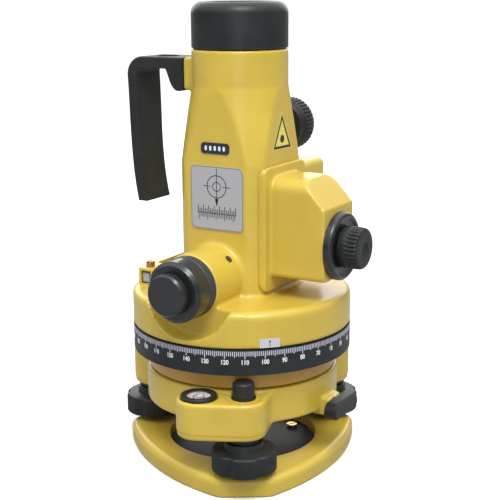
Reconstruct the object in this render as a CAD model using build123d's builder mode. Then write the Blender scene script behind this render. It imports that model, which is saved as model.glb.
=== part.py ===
"""Laser plumbing instrument on a three-screw tribrach, as separate solids.

Frame: origin on the plumb axis at the underside of the base plate, +Z up,
label face towards -Y, laser housing on +X, battery housing on +Y, handle on -X.
Sizes are in millimetres.
"""
import os
from math import cos, hypot, pi, radians, sin

from build123d import *

os.makedirs("parts", exist_ok=True)

# ---------------------------------------------------------------- driving sizes
# Tribrach: turned a little against the label face, as the upper part was left
FOOT_ANGLES = (-58, 62, 182)
SIDE_ANGLES = (2, 122, 242)
FOOT_R = 63.5
BASE_TOP = 11.2
BASE_FLOOR = 4.0
RECESS_R = 44.9
INSERT_R = 11.2
THREAD_R = 6.8
TRIBRACH_TOP = 57.6
PAD_TOP = 55.8
WALL_BOTTOM = 37.5
ARM_BOTTOM = 34.0
ARM_R = 13.0
SPIGOT_R = 40.0
SPIGOT_BOTTOM = 36.0
LOCK_Z = 40.0
LEVEL_AT = (10.9, -64.6)

# Footscrews
KNOB_R = 18.7
KNOB_LOW = 14.3
KNOB_HIGH = 26.3
SCREW_R = 4.0

# Circle and centring flange
FLANGE_R = 55.8
FLANGE_TOP = 69.0
RING_R = 65.0
RING_LOW = 69.3
RING_HIGH = 84.0
HUB_R = 50.0
SPINDLE_R = 18.0

# Upper housing
DRUM_LOW = 84.3
DECK = 105.0
DRUM_WALL = 7.0
SQUARE = 27.9
CORNER_R = 34.6
NECK_R = 27.8
COLUMN_TOP = 244.3
FLARE_LOW = 181.0
FLARE_HIGH = 224.0
BORE_R = 24.0
CAP_TOP = 270.5

# Eyepiece, along -Y
EYE_Z = 116.0
BOSS_R = 18.3
BOSS_END = 55.5
EYE_RING_R = 17.6
SCOOP_R = 29.0
SCOOP_BACK = 53.0

# Laser housing, on +X
BOX_Y = 18.0
BOX_X = 64.3
BOX_LOW = 117.0
BOX_TOP = 174.0
LASER_Z = 135.5

# Focusing drive, along +Y
FOCUS_X = 10.0
FOCUS_Z = 197.5
PITCH_R = 4.0
TOOTH_COUNT = 10
RACK_PITCH = 2 * pi * PITCH_R / TOOTH_COUNT

# Battery housing, on +Y
BATTERY_X = 29.0
BATTERY_Y = 50.0
BATTERY_LOW = 115.0
BATTERY_TOP = 177.0

SLIP = 0.06


def polar(radius, angle):
    """A point at this radius and this angle in degrees about the plumb axis."""
    return (radius * cos(radians(angle)), radius * sin(radians(angle)))


def plane_y(y, x=0.0, z=0.0):
    """A plane whose normal is +Y, with local x along +X and local y along -Z."""
    return Plane(origin=(x, y, z), x_dir=(1, 0, 0), z_dir=(0, 1, 0))


def plane_front(y, x=0.0, z=0.0):
    """A plane whose normal is -Y, with local x along +X and local y along +Z."""
    return Plane(origin=(x, y, z), x_dir=(1, 0, 0), z_dir=(0, -1, 0))


def plane_x(x, y=0.0, z=0.0):
    """A plane whose normal is +X, with local x along +Y and local y along +Z."""
    return Plane(origin=(x, y, z), x_dir=(0, 1, 0), z_dir=(1, 0, 0))


def save(part, name):
    """Label a finished piece and write its STEP file."""
    part.label = name
    export_step(part, f"parts/{name}.step")


# ---------------------------------------------------------------- base plate
SIDE_BACK = 78.0
SIDE_FRONT = 60.6
CORNER_CUT = 72.6

with BuildPart() as base_plate:
    with BuildSketch():
        Circle(90)
        for angle in SIDE_ANGLES:
            with Locations(polar(-SIDE_BACK, angle)):
                Circle(SIDE_BACK + SIDE_FRONT, mode=Mode.INTERSECT)
        for angle in FOOT_ANGLES:
            with Locations(Location((*polar(CORNER_CUT + 15, angle), 0), (0, 0, angle))):
                Rectangle(30, 80, mode=Mode.SUBTRACT)
    extrude(amount=BASE_TOP)
    fillet(base_plate.edges().filter_by(Axis.Z), radius=9)
    fillet(base_plate.faces().sort_by(Axis.Z)[-1].edges(), radius=4.2)
    fillet(base_plate.faces().sort_by(Axis.Z)[0].edges(), radius=1.2)
    with Locations((0, 0, BASE_TOP)):
        Hole(radius=RECESS_R, depth=BASE_TOP - BASE_FLOOR)
        Hole(radius=INSERT_R)
    with Locations([(*polar(FOOT_R, angle), BASE_TOP) for angle in FOOT_ANGLES]):
        Hole(radius=4.4, depth=4)
save(base_plate.part, "base_plate")

with BuildPart() as thread_insert:
    Cylinder(INSERT_R, 8.5, align=(Align.CENTER, Align.CENTER, Align.MIN))
    Hole(radius=THREAD_R)
save(thread_insert.part, "thread_insert")

SPRING_TOP = BASE_FLOOR + 2.0
SPRING_SCREW_R = 36.0
with BuildPart() as spring_plate:
    with BuildSketch(Plane.XY.offset(BASE_FLOOR)):
        Circle(RECESS_R - 0.3)
        Circle(INSERT_R, mode=Mode.SUBTRACT)
        with PolarLocations(SPRING_SCREW_R, 3, start_angle=FOOT_ANGLES[1]):
            Circle(1.6, mode=Mode.SUBTRACT)
        with PolarLocations(24, 3, start_angle=FOOT_ANGLES[1]):
            SlotArc(CenterArc((0, 0), 24, -28, 56), 6, mode=Mode.SUBTRACT)
    extrude(amount=SPRING_TOP - BASE_FLOOR)
save(spring_plate.part, "spring_plate")

with BuildPart() as spring_plate_screws:
    with BuildSketch(Plane.XY.offset(SPRING_TOP)):
        with PolarLocations(SPRING_SCREW_R, 3, start_angle=FOOT_ANGLES[1]):
            Circle(3.2)
    extrude(amount=2.0)
    with BuildSketch(Plane.XY.offset(BASE_FLOOR)):
        with PolarLocations(SPRING_SCREW_R, 3, start_angle=FOOT_ANGLES[1]):
            Circle(1.6)
    extrude(amount=SPRING_TOP - BASE_FLOOR)
    with BuildSketch(Plane.XY.offset(SPRING_TOP + 2.0)):
        with PolarLocations(SPRING_SCREW_R, 3, start_angle=FOOT_ANGLES[1]):
            Rectangle(7, 0.9)
    extrude(amount=-0.9, mode=Mode.SUBTRACT)
save(spring_plate_screws.part, "spring_plate_screws")

# ---------------------------------------------------------------- footscrews
HUB_TOP = 31.0
CUP_R = 9.4
SLEEVE_LOW = 29.0
SLEEVE_R = 9.1
SPINDLE_TOP = 59.0

for number, angle in enumerate(FOOT_ANGLES, start=1):
    x, y = polar(FOOT_R, angle)
    at = Plane(origin=(x, y, 0), x_dir=(*polar(1, angle), 0), z_dir=(0, 0, 1))
    with BuildPart() as knob:
        with BuildSketch(at.offset(KNOB_LOW)):
            Circle(KNOB_R)
            with PolarLocations(KNOB_R + 5.2, 6, start_angle=30):
                Circle(6.4, mode=Mode.SUBTRACT)
        extrude(amount=KNOB_HIGH - KNOB_LOW)
        chamfer(knob.edges().group_by(Axis.Z)[-1], length=1.0)
        chamfer(knob.edges().group_by(Axis.Z)[0], length=0.8)
        with BuildSketch(at.offset(KNOB_HIGH)):
            Circle(11.2)
            Circle(CUP_R, mode=Mode.SUBTRACT)
        extrude(amount=HUB_TOP - KNOB_HIGH)
        with BuildSketch(at.offset(KNOB_LOW)):
            Circle(SCREW_R)
        extrude(amount=KNOB_HIGH - KNOB_LOW, mode=Mode.SUBTRACT)
    save(knob.part, f"footscrew_knob_{number}")

    with BuildPart() as spindle:
        with BuildSketch(at.offset(BASE_TOP - 3.6)):
            Circle(SCREW_R)
        extrude(amount=SPINDLE_TOP - BASE_TOP + 3.6)
        chamfer(spindle.edges().group_by(Axis.Z)[0], length=1.6)
        chamfer(spindle.edges().group_by(Axis.Z)[-1], length=0.6)
    save(spindle.part, f"footscrew_spindle_{number}")

# ---------------------------------------------------------------- tribrach
WALL_R = 57.4


def arm_outline(angle, radius):
    """One arm, from its root in the round wall to its end; the front arm also seats the level."""
    with BuildSketch(mode=Mode.PRIVATE) as arm:
        with Locations(polar(FOOT_R, angle)):
            Circle(radius)
        with Locations(polar(40, angle)):
            Circle(radius + 6)
        if angle == FOOT_ANGLES[0]:
            with Locations(LEVEL_AT):
                Circle(radius)
        make_hull()
    return arm.sketch


with BuildPart() as tribrach_body:
    with BuildSketch(Plane.XY.offset(WALL_BOTTOM)):
        Circle(WALL_R)
        for angle in FOOT_ANGLES:
            add(arm_outline(angle, ARM_R))
    extrude(amount=TRIBRACH_TOP - WALL_BOTTOM)
    roots = tribrach_body.edges().filter_by(Axis.Z).filter_by(
        lambda edge: abs(hypot(edge.center().X, edge.center().Y) - WALL_R) < 0.05
    )
    fillet(roots, radius=7)
    for angle in FOOT_ANGLES:
        with BuildSketch(Plane.XY.offset(ARM_BOTTOM)):
            add(arm_outline(angle, ARM_R - 0.4))
        extrude(amount=WALL_BOTTOM - ARM_BOTTOM + 1)
    with BuildSketch(Plane.XY.offset(ARM_BOTTOM)):
        with Locations(Location((54.5, 2, 0), (0, 0, 2))):
            Rectangle(16, 16)
    extrude(amount=LOCK_Z + 4.8 - ARM_BOTTOM)
    with BuildSketch(Plane.XY.offset(PAD_TOP)):
        Circle(90)
        Circle(WALL_R, mode=Mode.SUBTRACT)
    extrude(amount=5, mode=Mode.SUBTRACT)
    with Locations((0, 0, TRIBRACH_TOP)):
        Hole(radius=SPIGOT_R + SLIP)
    with Locations([(*polar(FOOT_R, angle), PAD_TOP) for angle in FOOT_ANGLES]):
        Hole(radius=SLEEVE_R)
    with Locations((*LEVEL_AT, PAD_TOP)):
        Hole(radius=10.45, depth=9)
    with BuildSketch(plane_x(SPIGOT_R - 2, z=LOCK_Z)):
        Circle(3.6)
    extrude(amount=26, mode=Mode.SUBTRACT)
save(tribrach_body.part, "tribrach_body")

with BuildPart() as footscrew_bushes:
    with BuildSketch(Plane.XY.offset(SLEEVE_LOW)):
        with Locations([polar(FOOT_R, angle) for angle in FOOT_ANGLES]):
            Circle(SLEEVE_R)
            Circle(SCREW_R + SLIP, mode=Mode.SUBTRACT)
    extrude(amount=PAD_TOP - SLEEVE_LOW)
save(footscrew_bushes.part, "footscrew_bushes")

FOOT_CAP_TOP = 65.6
with BuildPart() as footscrew_caps:
    with BuildSketch(Plane.XY.offset(PAD_TOP)):
        with Locations([polar(FOOT_R, angle) for angle in FOOT_ANGLES]):
            Circle(6.2)
    extrude(amount=FOOT_CAP_TOP - PAD_TOP)
    fillet(footscrew_caps.edges().group_by(Axis.Z)[-1], radius=1.8)
    with BuildSketch(Plane.XY.offset(PAD_TOP)):
        with Locations([polar(FOOT_R, angle) for angle in FOOT_ANGLES]):
            Circle(7.0)
    extrude(amount=1.0)
    with BuildSketch(Plane.XY.offset(PAD_TOP)):
        with Locations([polar(FOOT_R, angle) for angle in FOOT_ANGLES]):
            Circle(4.6)
    extrude(amount=7.4, mode=Mode.SUBTRACT)
save(footscrew_caps.part, "footscrew_caps")

LEVEL_RIM = 57.5
with BuildPart() as circular_level_case:
    with Locations((*LEVEL_AT, PAD_TOP - 8.9)):
        Cylinder(10.4, LEVEL_RIM - PAD_TOP + 8.9, align=(Align.CENTER, Align.CENTER, Align.MIN))
    fillet(circular_level_case.edges().group_by(Axis.Z)[-1], radius=0.9)
    with Locations((*LEVEL_AT, LEVEL_RIM)):
        Hole(radius=8.0, depth=7.5)
save(circular_level_case.part, "circular_level_case")

with BuildPart() as circular_level_vial:
    with Locations((*LEVEL_AT, LEVEL_RIM - 7.5)):
        Cylinder(7.95, 7.1, align=(Align.CENTER, Align.CENTER, Align.MIN))
    fillet(circular_level_vial.edges().group_by(Axis.Z)[-1], radius=0.6)
save(circular_level_vial.part, "circular_level_vial")

LEVER_IN = 63.9
LEVER_OUT = 71.2
with BuildPart() as lock_lever:
    with BuildSketch(plane_x(LEVER_IN, z=LOCK_Z)):
        SlotOverall(30, 10)
    extrude(amount=LEVER_OUT - LEVER_IN)
    chamfer(lock_lever.edges().group_by(Axis.X)[-1], length=1.4)
    with BuildSketch(plane_x(LEVER_IN, z=LOCK_Z)):
        Circle(3.5)
    extrude(amount=4.5, mode=Mode.SUBTRACT)
save(lock_lever.part, "lock_lever")

SHOE_OUT = 45.0
with BuildPart() as lock_shaft:
    with BuildSketch(plane_x(SHOE_OUT + 0.02, z=LOCK_Z)):
        Circle(3.5)
    extrude(amount=LEVER_IN + 4.5 - SHOE_OUT - 0.02)
    with BuildSketch(plane_x(62.9, z=LOCK_Z)):
        Circle(5.0)
    extrude(amount=LEVER_IN - 62.9)
save(lock_shaft.part, "lock_shaft")

with BuildPart() as lock_shoe:
    with BuildSketch(plane_x(SPIGOT_R - 2, z=LOCK_Z)):
        Circle(3.4)
    extrude(amount=SHOE_OUT - SPIGOT_R + 2 - 0.4)
    with Locations((0, 0, LOCK_Z)):
        Cylinder(SPIGOT_R + 0.4, 12, mode=Mode.SUBTRACT)
save(lock_shoe.part, "lock_shoe")

# ---------------------------------------------------------------- centring flange and circle
THRUST = 83.9
with BuildPart() as centring_flange:
    with BuildSketch(Plane.XZ):
        with BuildLine():
            Polyline(
                (SPINDLE_R, SPIGOT_BOTTOM), (SPIGOT_R, SPIGOT_BOTTOM), (SPIGOT_R, TRIBRACH_TOP + 0.3),
                (51, TRIBRACH_TOP + 0.3), (51, TRIBRACH_TOP + 1.1), (FLANGE_R, TRIBRACH_TOP + 1.1),
                (FLANGE_R, FLANGE_TOP), (HUB_R, FLANGE_TOP),
                (HUB_R, 73.0), (30, 73.0), (30, THRUST), (SPINDLE_R, THRUST), close=True,
            )
        make_face()
    revolve(axis=Axis.Z)
save(centring_flange.part, "centring_flange")

with BuildPart() as vertical_spindle:
    with BuildSketch(Plane.XY.offset(SPIGOT_BOTTOM)):
        Circle(SPINDLE_R)
        Circle(14, mode=Mode.SUBTRACT)
    extrude(amount=100 - SPIGOT_BOTTOM)
    chamfer(vertical_spindle.edges().group_by(Axis.Z)[-1], length=0.8)
save(vertical_spindle.part, "vertical_spindle")

RING_WALL = 60.5
with BuildPart() as circle_ring:
    with BuildSketch(Plane.XZ):
        with BuildLine():
            Polyline(
                (HUB_R + SLIP, RING_LOW), (RING_R, RING_LOW), (RING_R, RING_HIGH),
                (RING_WALL, RING_HIGH), (RING_WALL, 72.6), (HUB_R + SLIP, 72.6), close=True,
            )
        make_face()
    revolve(axis=Axis.Z)
save(circle_ring.part, "circle_ring")

# ---------------------------------------------------------------- main housing
CAVITY_R = RING_R - DRUM_WALL
CAVITY_TOP = DECK - 4
CASTING_WALL = 3.0
TUBE_R = 12.1
PINION_SHAFT_R = 3.0

# Grub screw in the top right of the eyepiece boss, its axis at 45 degrees
GRUB_PLANE = Plane(origin=(12.6, -35, EYE_Z + 12.6), z_dir=(1, 0, 1))

# Square column, its corners turned round, narrowing to the round neck
with BuildPart() as column:
    with BuildSketch(Plane.XZ):
        with BuildLine():
            Polyline(
                (0, CAVITY_TOP), (CORNER_R, CAVITY_TOP), (CORNER_R, FLARE_LOW), (NECK_R, FLARE_HIGH),
                (NECK_R, COLUMN_TOP), (0, COLUMN_TOP), close=True,
            )
        make_face()
    revolve(axis=Axis.Z)
    with Locations((0, 0, CAVITY_TOP)):
        Box(2 * SQUARE, 2 * SQUARE, 200, mode=Mode.INTERSECT,
            align=(Align.CENTER, Align.CENTER, Align.MIN))

# Space inside the drum, kept clear of the wall behind the scoop
with BuildPart() as drum_space:
    with Locations((0, 0, DRUM_LOW)):
        Cylinder(CAVITY_R, CAVITY_TOP - DRUM_LOW, align=(Align.CENTER, Align.CENTER, Align.MIN))
    with BuildSketch(plane_front(-SCOOP_BACK + CASTING_WALL, z=EYE_Z)):
        Circle(SCOOP_R + CASTING_WALL)
    extrude(amount=20, mode=Mode.SUBTRACT)

with BuildPart() as main_housing:
    with Locations((0, 0, DRUM_LOW)):
        Cylinder(RING_R, DECK - DRUM_LOW, align=(Align.CENTER, Align.CENTER, Align.MIN))
    fillet(main_housing.edges().group_by(Axis.Z)[-1], radius=3.5)
    with BuildSketch(plane_front(-SCOOP_BACK, z=EYE_Z)):
        Circle(SCOOP_R)
    extrude(amount=20, mode=Mode.SUBTRACT)
    add(column.part)
    with BuildSketch(plane_front(-SQUARE + 6, z=EYE_Z)):
        Circle(BOSS_R)
    extrude(amount=BOSS_END - SQUARE + 6)
    with BuildSketch(Plane.YZ.offset(-31.4)):
        with Locations((0, 229.3)):
            RectangleRounded(24, 19, 1.5)
    extrude(amount=8)
    with BuildSketch(plane_y(SQUARE - 1, FOCUS_X, FOCUS_Z)):
        Circle(8)
    extrude(amount=2.6)
    add(drum_space.part, mode=Mode.SUBTRACT)
    with Locations((0, 0, COLUMN_TOP)):
        Hole(radius=BORE_R, depth=COLUMN_TOP - DECK + 5)
    with BuildSketch(plane_front(-BORE_R + 4, z=EYE_Z)):
        Circle(TUBE_R + SLIP)
    extrude(amount=BOSS_END, mode=Mode.SUBTRACT)
    with BuildSketch(plane_x(20, z=LASER_Z)):
        Circle(9)
    extrude(amount=10, mode=Mode.SUBTRACT)
    with BuildSketch(plane_y(16, FOCUS_X, FOCUS_Z)):
        Circle(PINION_SHAFT_R + SLIP)
    extrude(amount=16, mode=Mode.SUBTRACT)
    with Locations((FOCUS_X - 2, 19.2, FOCUS_Z)):
        Box(15, 10.4, 12, mode=Mode.SUBTRACT)
    with BuildSketch(plane_y(20, 0, 125)):
        Rectangle(12, 6)
    extrude(amount=10, mode=Mode.SUBTRACT)
    with BuildSketch(Plane.YZ.offset(-32)):
        with Locations((-6, 226), (6, 226)):
            Circle(2)
    extrude(amount=6, mode=Mode.SUBTRACT)
    with BuildSketch(GRUB_PLANE):
        Circle(1.6)
    extrude(amount=-4.5, mode=Mode.SUBTRACT)
save(main_housing.part, "main_housing")

BEARING_R = 24.0
with BuildPart() as drum_floor:
    with BuildSketch(Plane.XY.offset(DRUM_LOW + 0.1)):
        Circle(CAVITY_R)
        Circle(BEARING_R, mode=Mode.SUBTRACT)
    extrude(amount=2.6)
    add(main_housing.part, mode=Mode.SUBTRACT)
save(drum_floor.part, "drum_floor")

with BuildPart() as spindle_bearing:
    with BuildSketch(Plane.XY.offset(THRUST + 0.2)):
        Circle(BEARING_R)
        Circle(SPINDLE_R + 0.04, mode=Mode.SUBTRACT)
    extrude(amount=15.5)
    with BuildSketch(Plane.XY.offset(DRUM_LOW + 2.7)):
        Circle(31)
        Circle(BEARING_R, mode=Mode.SUBTRACT)
    extrude(amount=2.4)
save(spindle_bearing.part, "spindle_bearing")

with BuildPart() as plummet_laser:
    with Locations((0, 0, CAVITY_TOP + 0.2)):
        Cylinder(BORE_R - 0.1, 3.0, align=(Align.CENTER, Align.CENTER, Align.MIN))
    with Locations((0, 0, 78)):
        Cylinder(9, CAVITY_TOP + 0.2 - 78, align=(Align.CENTER, Align.CENTER, Align.MIN))
    with Locations((0, 0, 78)):
        Cylinder(3, 6, mode=Mode.SUBTRACT, align=(Align.CENTER, Align.CENTER, Align.MIN))
save(plummet_laser.part, "plummet_laser")

with BuildPart() as plummet_window:
    with Locations((0, 0, SPIGOT_BOTTOM + 2)):
        Cylinder(14, 2.5, align=(Align.CENTER, Align.CENTER, Align.MIN))
save(plummet_window.part, "plummet_window")

# ---------------------------------------------------------------- objective, top cap, optics
BARREL_LOW = 231.0
BARREL_TOP = 252.0
with BuildPart() as objective_barrel:
    with BuildSketch(Plane.XY.offset(BARREL_LOW)):
        Circle(BORE_R)
        Circle(20.5, mode=Mode.SUBTRACT)
    extrude(amount=BARREL_TOP - BARREL_LOW)
    with BuildSketch(Plane.XY.offset(BARREL_LOW)):
        Circle(20.5)
        Circle(18.5, mode=Mode.SUBTRACT)
    extrude(amount=3)
    chamfer(objective_barrel.edges().group_by(Axis.Z)[-1], length=0.8)
save(objective_barrel.part, "objective_barrel")

LENS_LOW = 235.0
with BuildPart() as objective_lens:
    with Locations((0, 0, LENS_LOW)):
        Cylinder(20.5, 6, align=(Align.CENTER, Align.CENTER, Align.MIN))
    chamfer(objective_lens.edges().group_by(Axis.Z)[-1], length=0.5)
save(objective_lens.part, "objective_lens")

CAP_LOW = COLUMN_TOP + 0.4
with BuildPart() as top_cap:
    with Locations((0, 0, CAP_LOW)):
        Cylinder(NECK_R, CAP_TOP - CAP_LOW, align=(Align.CENTER, Align.CENTER, Align.MIN))
    fillet(top_cap.edges().group_by(Axis.Z)[-1], radius=6.5)
    with Locations((0, 0, CAP_LOW)):
        Cylinder(BORE_R + SLIP, 20.5, mode=Mode.SUBTRACT, align=(Align.CENTER, Align.CENTER, Align.MIN))
save(top_cap.part, "top_cap")

CELL_LOW = 176.0
CELL_HIGH = 219.0
CELL_R = 17.3
COLLAR = 3.0
with BuildPart() as focusing_cell:
    with BuildSketch(Plane.XY.offset(CELL_LOW)):
        Circle(CELL_R)
        Circle(14.5, mode=Mode.SUBTRACT)
    extrude(amount=CELL_HIGH - CELL_LOW)
    for low in (CELL_LOW, CELL_HIGH - COLLAR):
        with BuildSketch(Plane.XY.offset(low)):
            Circle(BORE_R - SLIP)
            Circle(CELL_R, mode=Mode.SUBTRACT)
        extrude(amount=COLLAR)
save(focusing_cell.part, "focusing_cell")

with BuildPart() as focusing_lens:
    with Locations((0, 0, FOCUS_Z - 3)):
        Cylinder(14.5, 4, align=(Align.CENTER, Align.CENTER, Align.MIN))
save(focusing_lens.part, "focusing_lens")

# Rack teeth face +X, with a gap opposite the pinion's middle at rest
RACK_Y = 17.6
RACK_WIDE = 3.6
RACK_X = FOCUS_X - PITCH_R
RACK_HALF = (CELL_HIGH - CELL_LOW) / 2 - COLLAR
TOOTH_HALF = 0.21 * RACK_PITCH
with BuildPart() as focusing_rack:
    with BuildSketch(plane_y(RACK_Y)):
        with Locations((RACK_X - 2.4, -FOCUS_Z)):
            Rectangle(3.0, 2 * RACK_HALF)
        for step in range(-6, 6):
            height = FOCUS_Z + (step + 0.5) * RACK_PITCH
            with BuildLine():
                Polyline(
                    (RACK_X - 1.0, -height - 1.5 * TOOTH_HALF), (RACK_X + 0.7, -height - 0.55 * TOOTH_HALF),
                    (RACK_X + 0.7, -height + 0.55 * TOOTH_HALF), (RACK_X - 1.0, -height + 1.5 * TOOTH_HALF),
                    close=True,
                )
            make_face()
    extrude(amount=RACK_WIDE)
    with BuildSketch(plane_y(16.0)):
        with Locations((RACK_X - 2.4, -FOCUS_Z)):
            Rectangle(3.0, 2 * RACK_HALF)
    extrude(amount=RACK_Y - 16.0)
    with Locations((0, 0, FOCUS_Z)):
        Cylinder(CELL_R, 60, mode=Mode.SUBTRACT)
save(focusing_rack.part, "focusing_rack")

PINION_TIP = 4.6
PINION_ROOT = 3.15
with BuildPart() as focusing_pinion:
    with BuildSketch(plane_y(RACK_Y + 0.1, FOCUS_X, FOCUS_Z)):
        Circle(PINION_ROOT)
        with PolarLocations(0, TOOTH_COUNT):
            with BuildLine():
                Polyline(
                    (PINION_ROOT - 0.4, -0.75), (PITCH_R, -TOOTH_HALF), (PINION_TIP, -0.3),
                    (PINION_TIP, 0.3), (PITCH_R, TOOTH_HALF), (PINION_ROOT - 0.4, 0.75), close=True,
                )
            make_face()
    extrude(amount=RACK_WIDE - 0.2)
    with BuildSketch(plane_y(RACK_Y + 0.1, FOCUS_X, FOCUS_Z)):
        Circle(PINION_SHAFT_R)
    extrude(amount=24)
save(focusing_pinion.part, "focusing_pinion")

with BuildPart() as focusing_knob:
    with BuildSketch(plane_y(29.9, FOCUS_X, FOCUS_Z)):
        Circle(13.8)
    extrude(amount=4.2)
    with BuildSketch(plane_y(34.1, FOCUS_X, FOCUS_Z)):
        Circle(15.7)
    extrude(amount=10.2)
    fillet(focusing_knob.edges().group_by(Axis.Y)[-1], radius=1.2)
    with BuildSketch(plane_y(29.9, FOCUS_X, FOCUS_Z)):
        Circle(PINION_SHAFT_R)
    extrude(amount=RACK_Y + 24.1 - 29.9, mode=Mode.SUBTRACT)
save(focusing_knob.part, "focusing_knob")

PRISM = 15.0
with BuildPart() as prism_holder:
    with Locations((0, 0, DECK + 1)):
        Cylinder(BORE_R - 0.1, 44, align=(Align.CENTER, Align.CENTER, Align.MIN))
    with Locations((0, 0, DECK + 1)):
        Cylinder(6.5, 44, mode=Mode.SUBTRACT, align=(Align.CENTER, Align.CENTER, Align.MIN))
    for height in (EYE_Z, LASER_Z):
        with Locations((0, 0, height)):
            Box(PRISM, PRISM, PRISM, mode=Mode.SUBTRACT)
    with BuildSketch(plane_front(0, z=EYE_Z)):
        Circle(6.5)
    extrude(amount=30, mode=Mode.SUBTRACT)
    with BuildSketch(plane_x(0, z=LASER_Z)):
        Circle(6.5)
    extrude(amount=30, mode=Mode.SUBTRACT)
save(prism_holder.part, "prism_holder")

with BuildPart() as prisms:
    for height in (EYE_Z, LASER_Z):
        with Locations((0, 0, height)):
            Box(PRISM, PRISM, PRISM)
save(prisms.part, "prisms")

# ---------------------------------------------------------------- eyepiece
with BuildPart() as reticle:
    with BuildSketch(plane_front(-31, z=EYE_Z)):
        Circle(TUBE_R)
    extrude(amount=1.5)
save(reticle.part, "reticle")

BASE_RING_END = 61.2
DIOPTER_END = 72.8
TUBE_STEP = 73.2
TUBE_END = 77.8
CAP_BACK = 74.6
EYE_END = 80.2
with BuildPart() as eyepiece_base_ring:
    with BuildSketch(plane_front(-BOSS_END, z=EYE_Z)):
        Circle(EYE_RING_R)
        Circle(TUBE_R + SLIP, mode=Mode.SUBTRACT)
    extrude(amount=BASE_RING_END - BOSS_END)
    chamfer(eyepiece_base_ring.edges().group_by(Axis.Y)[0], length=0.4)
save(eyepiece_base_ring.part, "eyepiece_base_ring")

with BuildPart() as eyepiece_tube:
    with BuildSketch(plane_front(-36, z=EYE_Z)):
        Circle(TUBE_R)
    extrude(amount=TUBE_STEP - 36)
    with BuildSketch(plane_front(-TUBE_STEP, z=EYE_Z)):
        Circle(10)
    extrude(amount=TUBE_END - TUBE_STEP)
    with BuildSketch(plane_front(-36, z=EYE_Z)):
        Circle(8.5)
    extrude(amount=TUBE_END - 36, mode=Mode.SUBTRACT)
save(eyepiece_tube.part, "eyepiece_tube")

with BuildPart() as eyepiece_lens:
    with BuildSketch(plane_front(-69, z=EYE_Z)):
        Circle(8.5)
    extrude(amount=5)
save(eyepiece_lens.part, "eyepiece_lens")

with BuildPart() as diopter_ring:
    with BuildSketch(plane_front(-BASE_RING_END - 0.3, z=EYE_Z)):
        Circle(EYE_RING_R - 0.2)
    extrude(amount=DIOPTER_END - BASE_RING_END - 0.3)
    chamfer(diopter_ring.edges().group_by(Axis.Y)[0], length=2.0)
    with BuildSketch(plane_front(-BASE_RING_END, z=EYE_Z)):
        Circle(TUBE_R + SLIP)
    extrude(amount=20, mode=Mode.SUBTRACT)
save(diopter_ring.part, "diopter_ring")

with BuildPart() as eyepiece_cap:
    with BuildSketch(plane_front(-CAP_BACK, z=EYE_Z)):
        Circle(12)
    extrude(amount=EYE_END - CAP_BACK)
    chamfer(eyepiece_cap.edges().group_by(Axis.Y)[0], length=1.2)
    with BuildSketch(plane_front(-CAP_BACK, z=EYE_Z)):
        Circle(10 + SLIP)
    extrude(amount=TUBE_END - CAP_BACK + 0.2, mode=Mode.SUBTRACT)
save(eyepiece_cap.part, "eyepiece_cap")

# ---------------------------------------------------------------- laser housing
FLANGE_FACE = 30.2
with BuildPart() as laser_housing:
    with BuildSketch(Plane.XZ.offset(-BOX_Y)):
        with BuildLine():
            Polyline(
                (SQUARE, BOX_LOW), (BOX_X, BOX_LOW), (BOX_X, 158.2), (50.5, BOX_TOP), (SQUARE, BOX_TOP),
                close=True,
            )
        make_face()
    extrude(amount=2 * BOX_Y)
    front_top = laser_housing.edges().filter_by(Axis.X).group_by(Axis.Z)[-1].sort_by(Axis.Y)
    fillet(front_top, radius=8)
    low_edges = laser_housing.edges().filter_by(Axis.X).group_by(Axis.Z)[0]
    fillet(low_edges, radius=2.5)
    with BuildSketch(plane_x(23, z=144)):
        RectangleRounded(48, 72, 4)
    extrude(amount=FLANGE_FACE - 23)
    add(column.part, mode=Mode.SUBTRACT)
    with Locations((44.5, 0, LASER_Z - 1)):
        Box(33, 2 * BOX_Y - 6, 30, mode=Mode.SUBTRACT)
    with BuildSketch(plane_x(20, z=LASER_Z)):
        Circle(9)
    extrude(amount=20, mode=Mode.SUBTRACT)
    with BuildSketch(plane_x(58, z=LASER_Z)):
        Circle(6)
    extrude(amount=10, mode=Mode.SUBTRACT)
save(laser_housing.part, "laser_housing")

with BuildPart() as laser_module:
    with BuildSketch(plane_x(25.5, z=LASER_Z)):
        Circle(7)
    extrude(amount=27)
    with BuildSketch(plane_x(25.5, z=LASER_Z)):
        Circle(4)
    extrude(amount=5, mode=Mode.SUBTRACT)
    with BuildSketch(plane_x(28.2, z=LASER_Z)):
        Circle(11)
        Circle(7, mode=Mode.SUBTRACT)
    extrude(amount=2.5)
    add(laser_housing.part, mode=Mode.SUBTRACT)
save(laser_module.part, "laser_module")

with BuildPart() as circuit_board:
    with BuildSketch(plane_y(12.6, 46, LASER_Z)):
        Rectangle(24, 26)
    extrude(amount=1.6)
save(circuit_board.part, "circuit_board")

PLATE_OUT = 69.4
with BuildPart() as laser_plate:
    with BuildSketch(plane_x(BOX_X, z=LASER_Z)):
        Circle(19.5)
    extrude(amount=PLATE_OUT - BOX_X)
    fillet(laser_plate.edges().group_by(Axis.X)[-1], radius=2.2)
    with BuildSketch(plane_x(PLATE_OUT - 1.2, z=LASER_Z)):
        Circle(15.2)
    extrude(amount=2, mode=Mode.SUBTRACT)
    with BuildSketch(plane_x(BOX_X - 1, z=LASER_Z)):
        Circle(PINION_SHAFT_R + SLIP)
    extrude(amount=8, mode=Mode.SUBTRACT)
save(laser_plate.part, "laser_plate")

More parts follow.
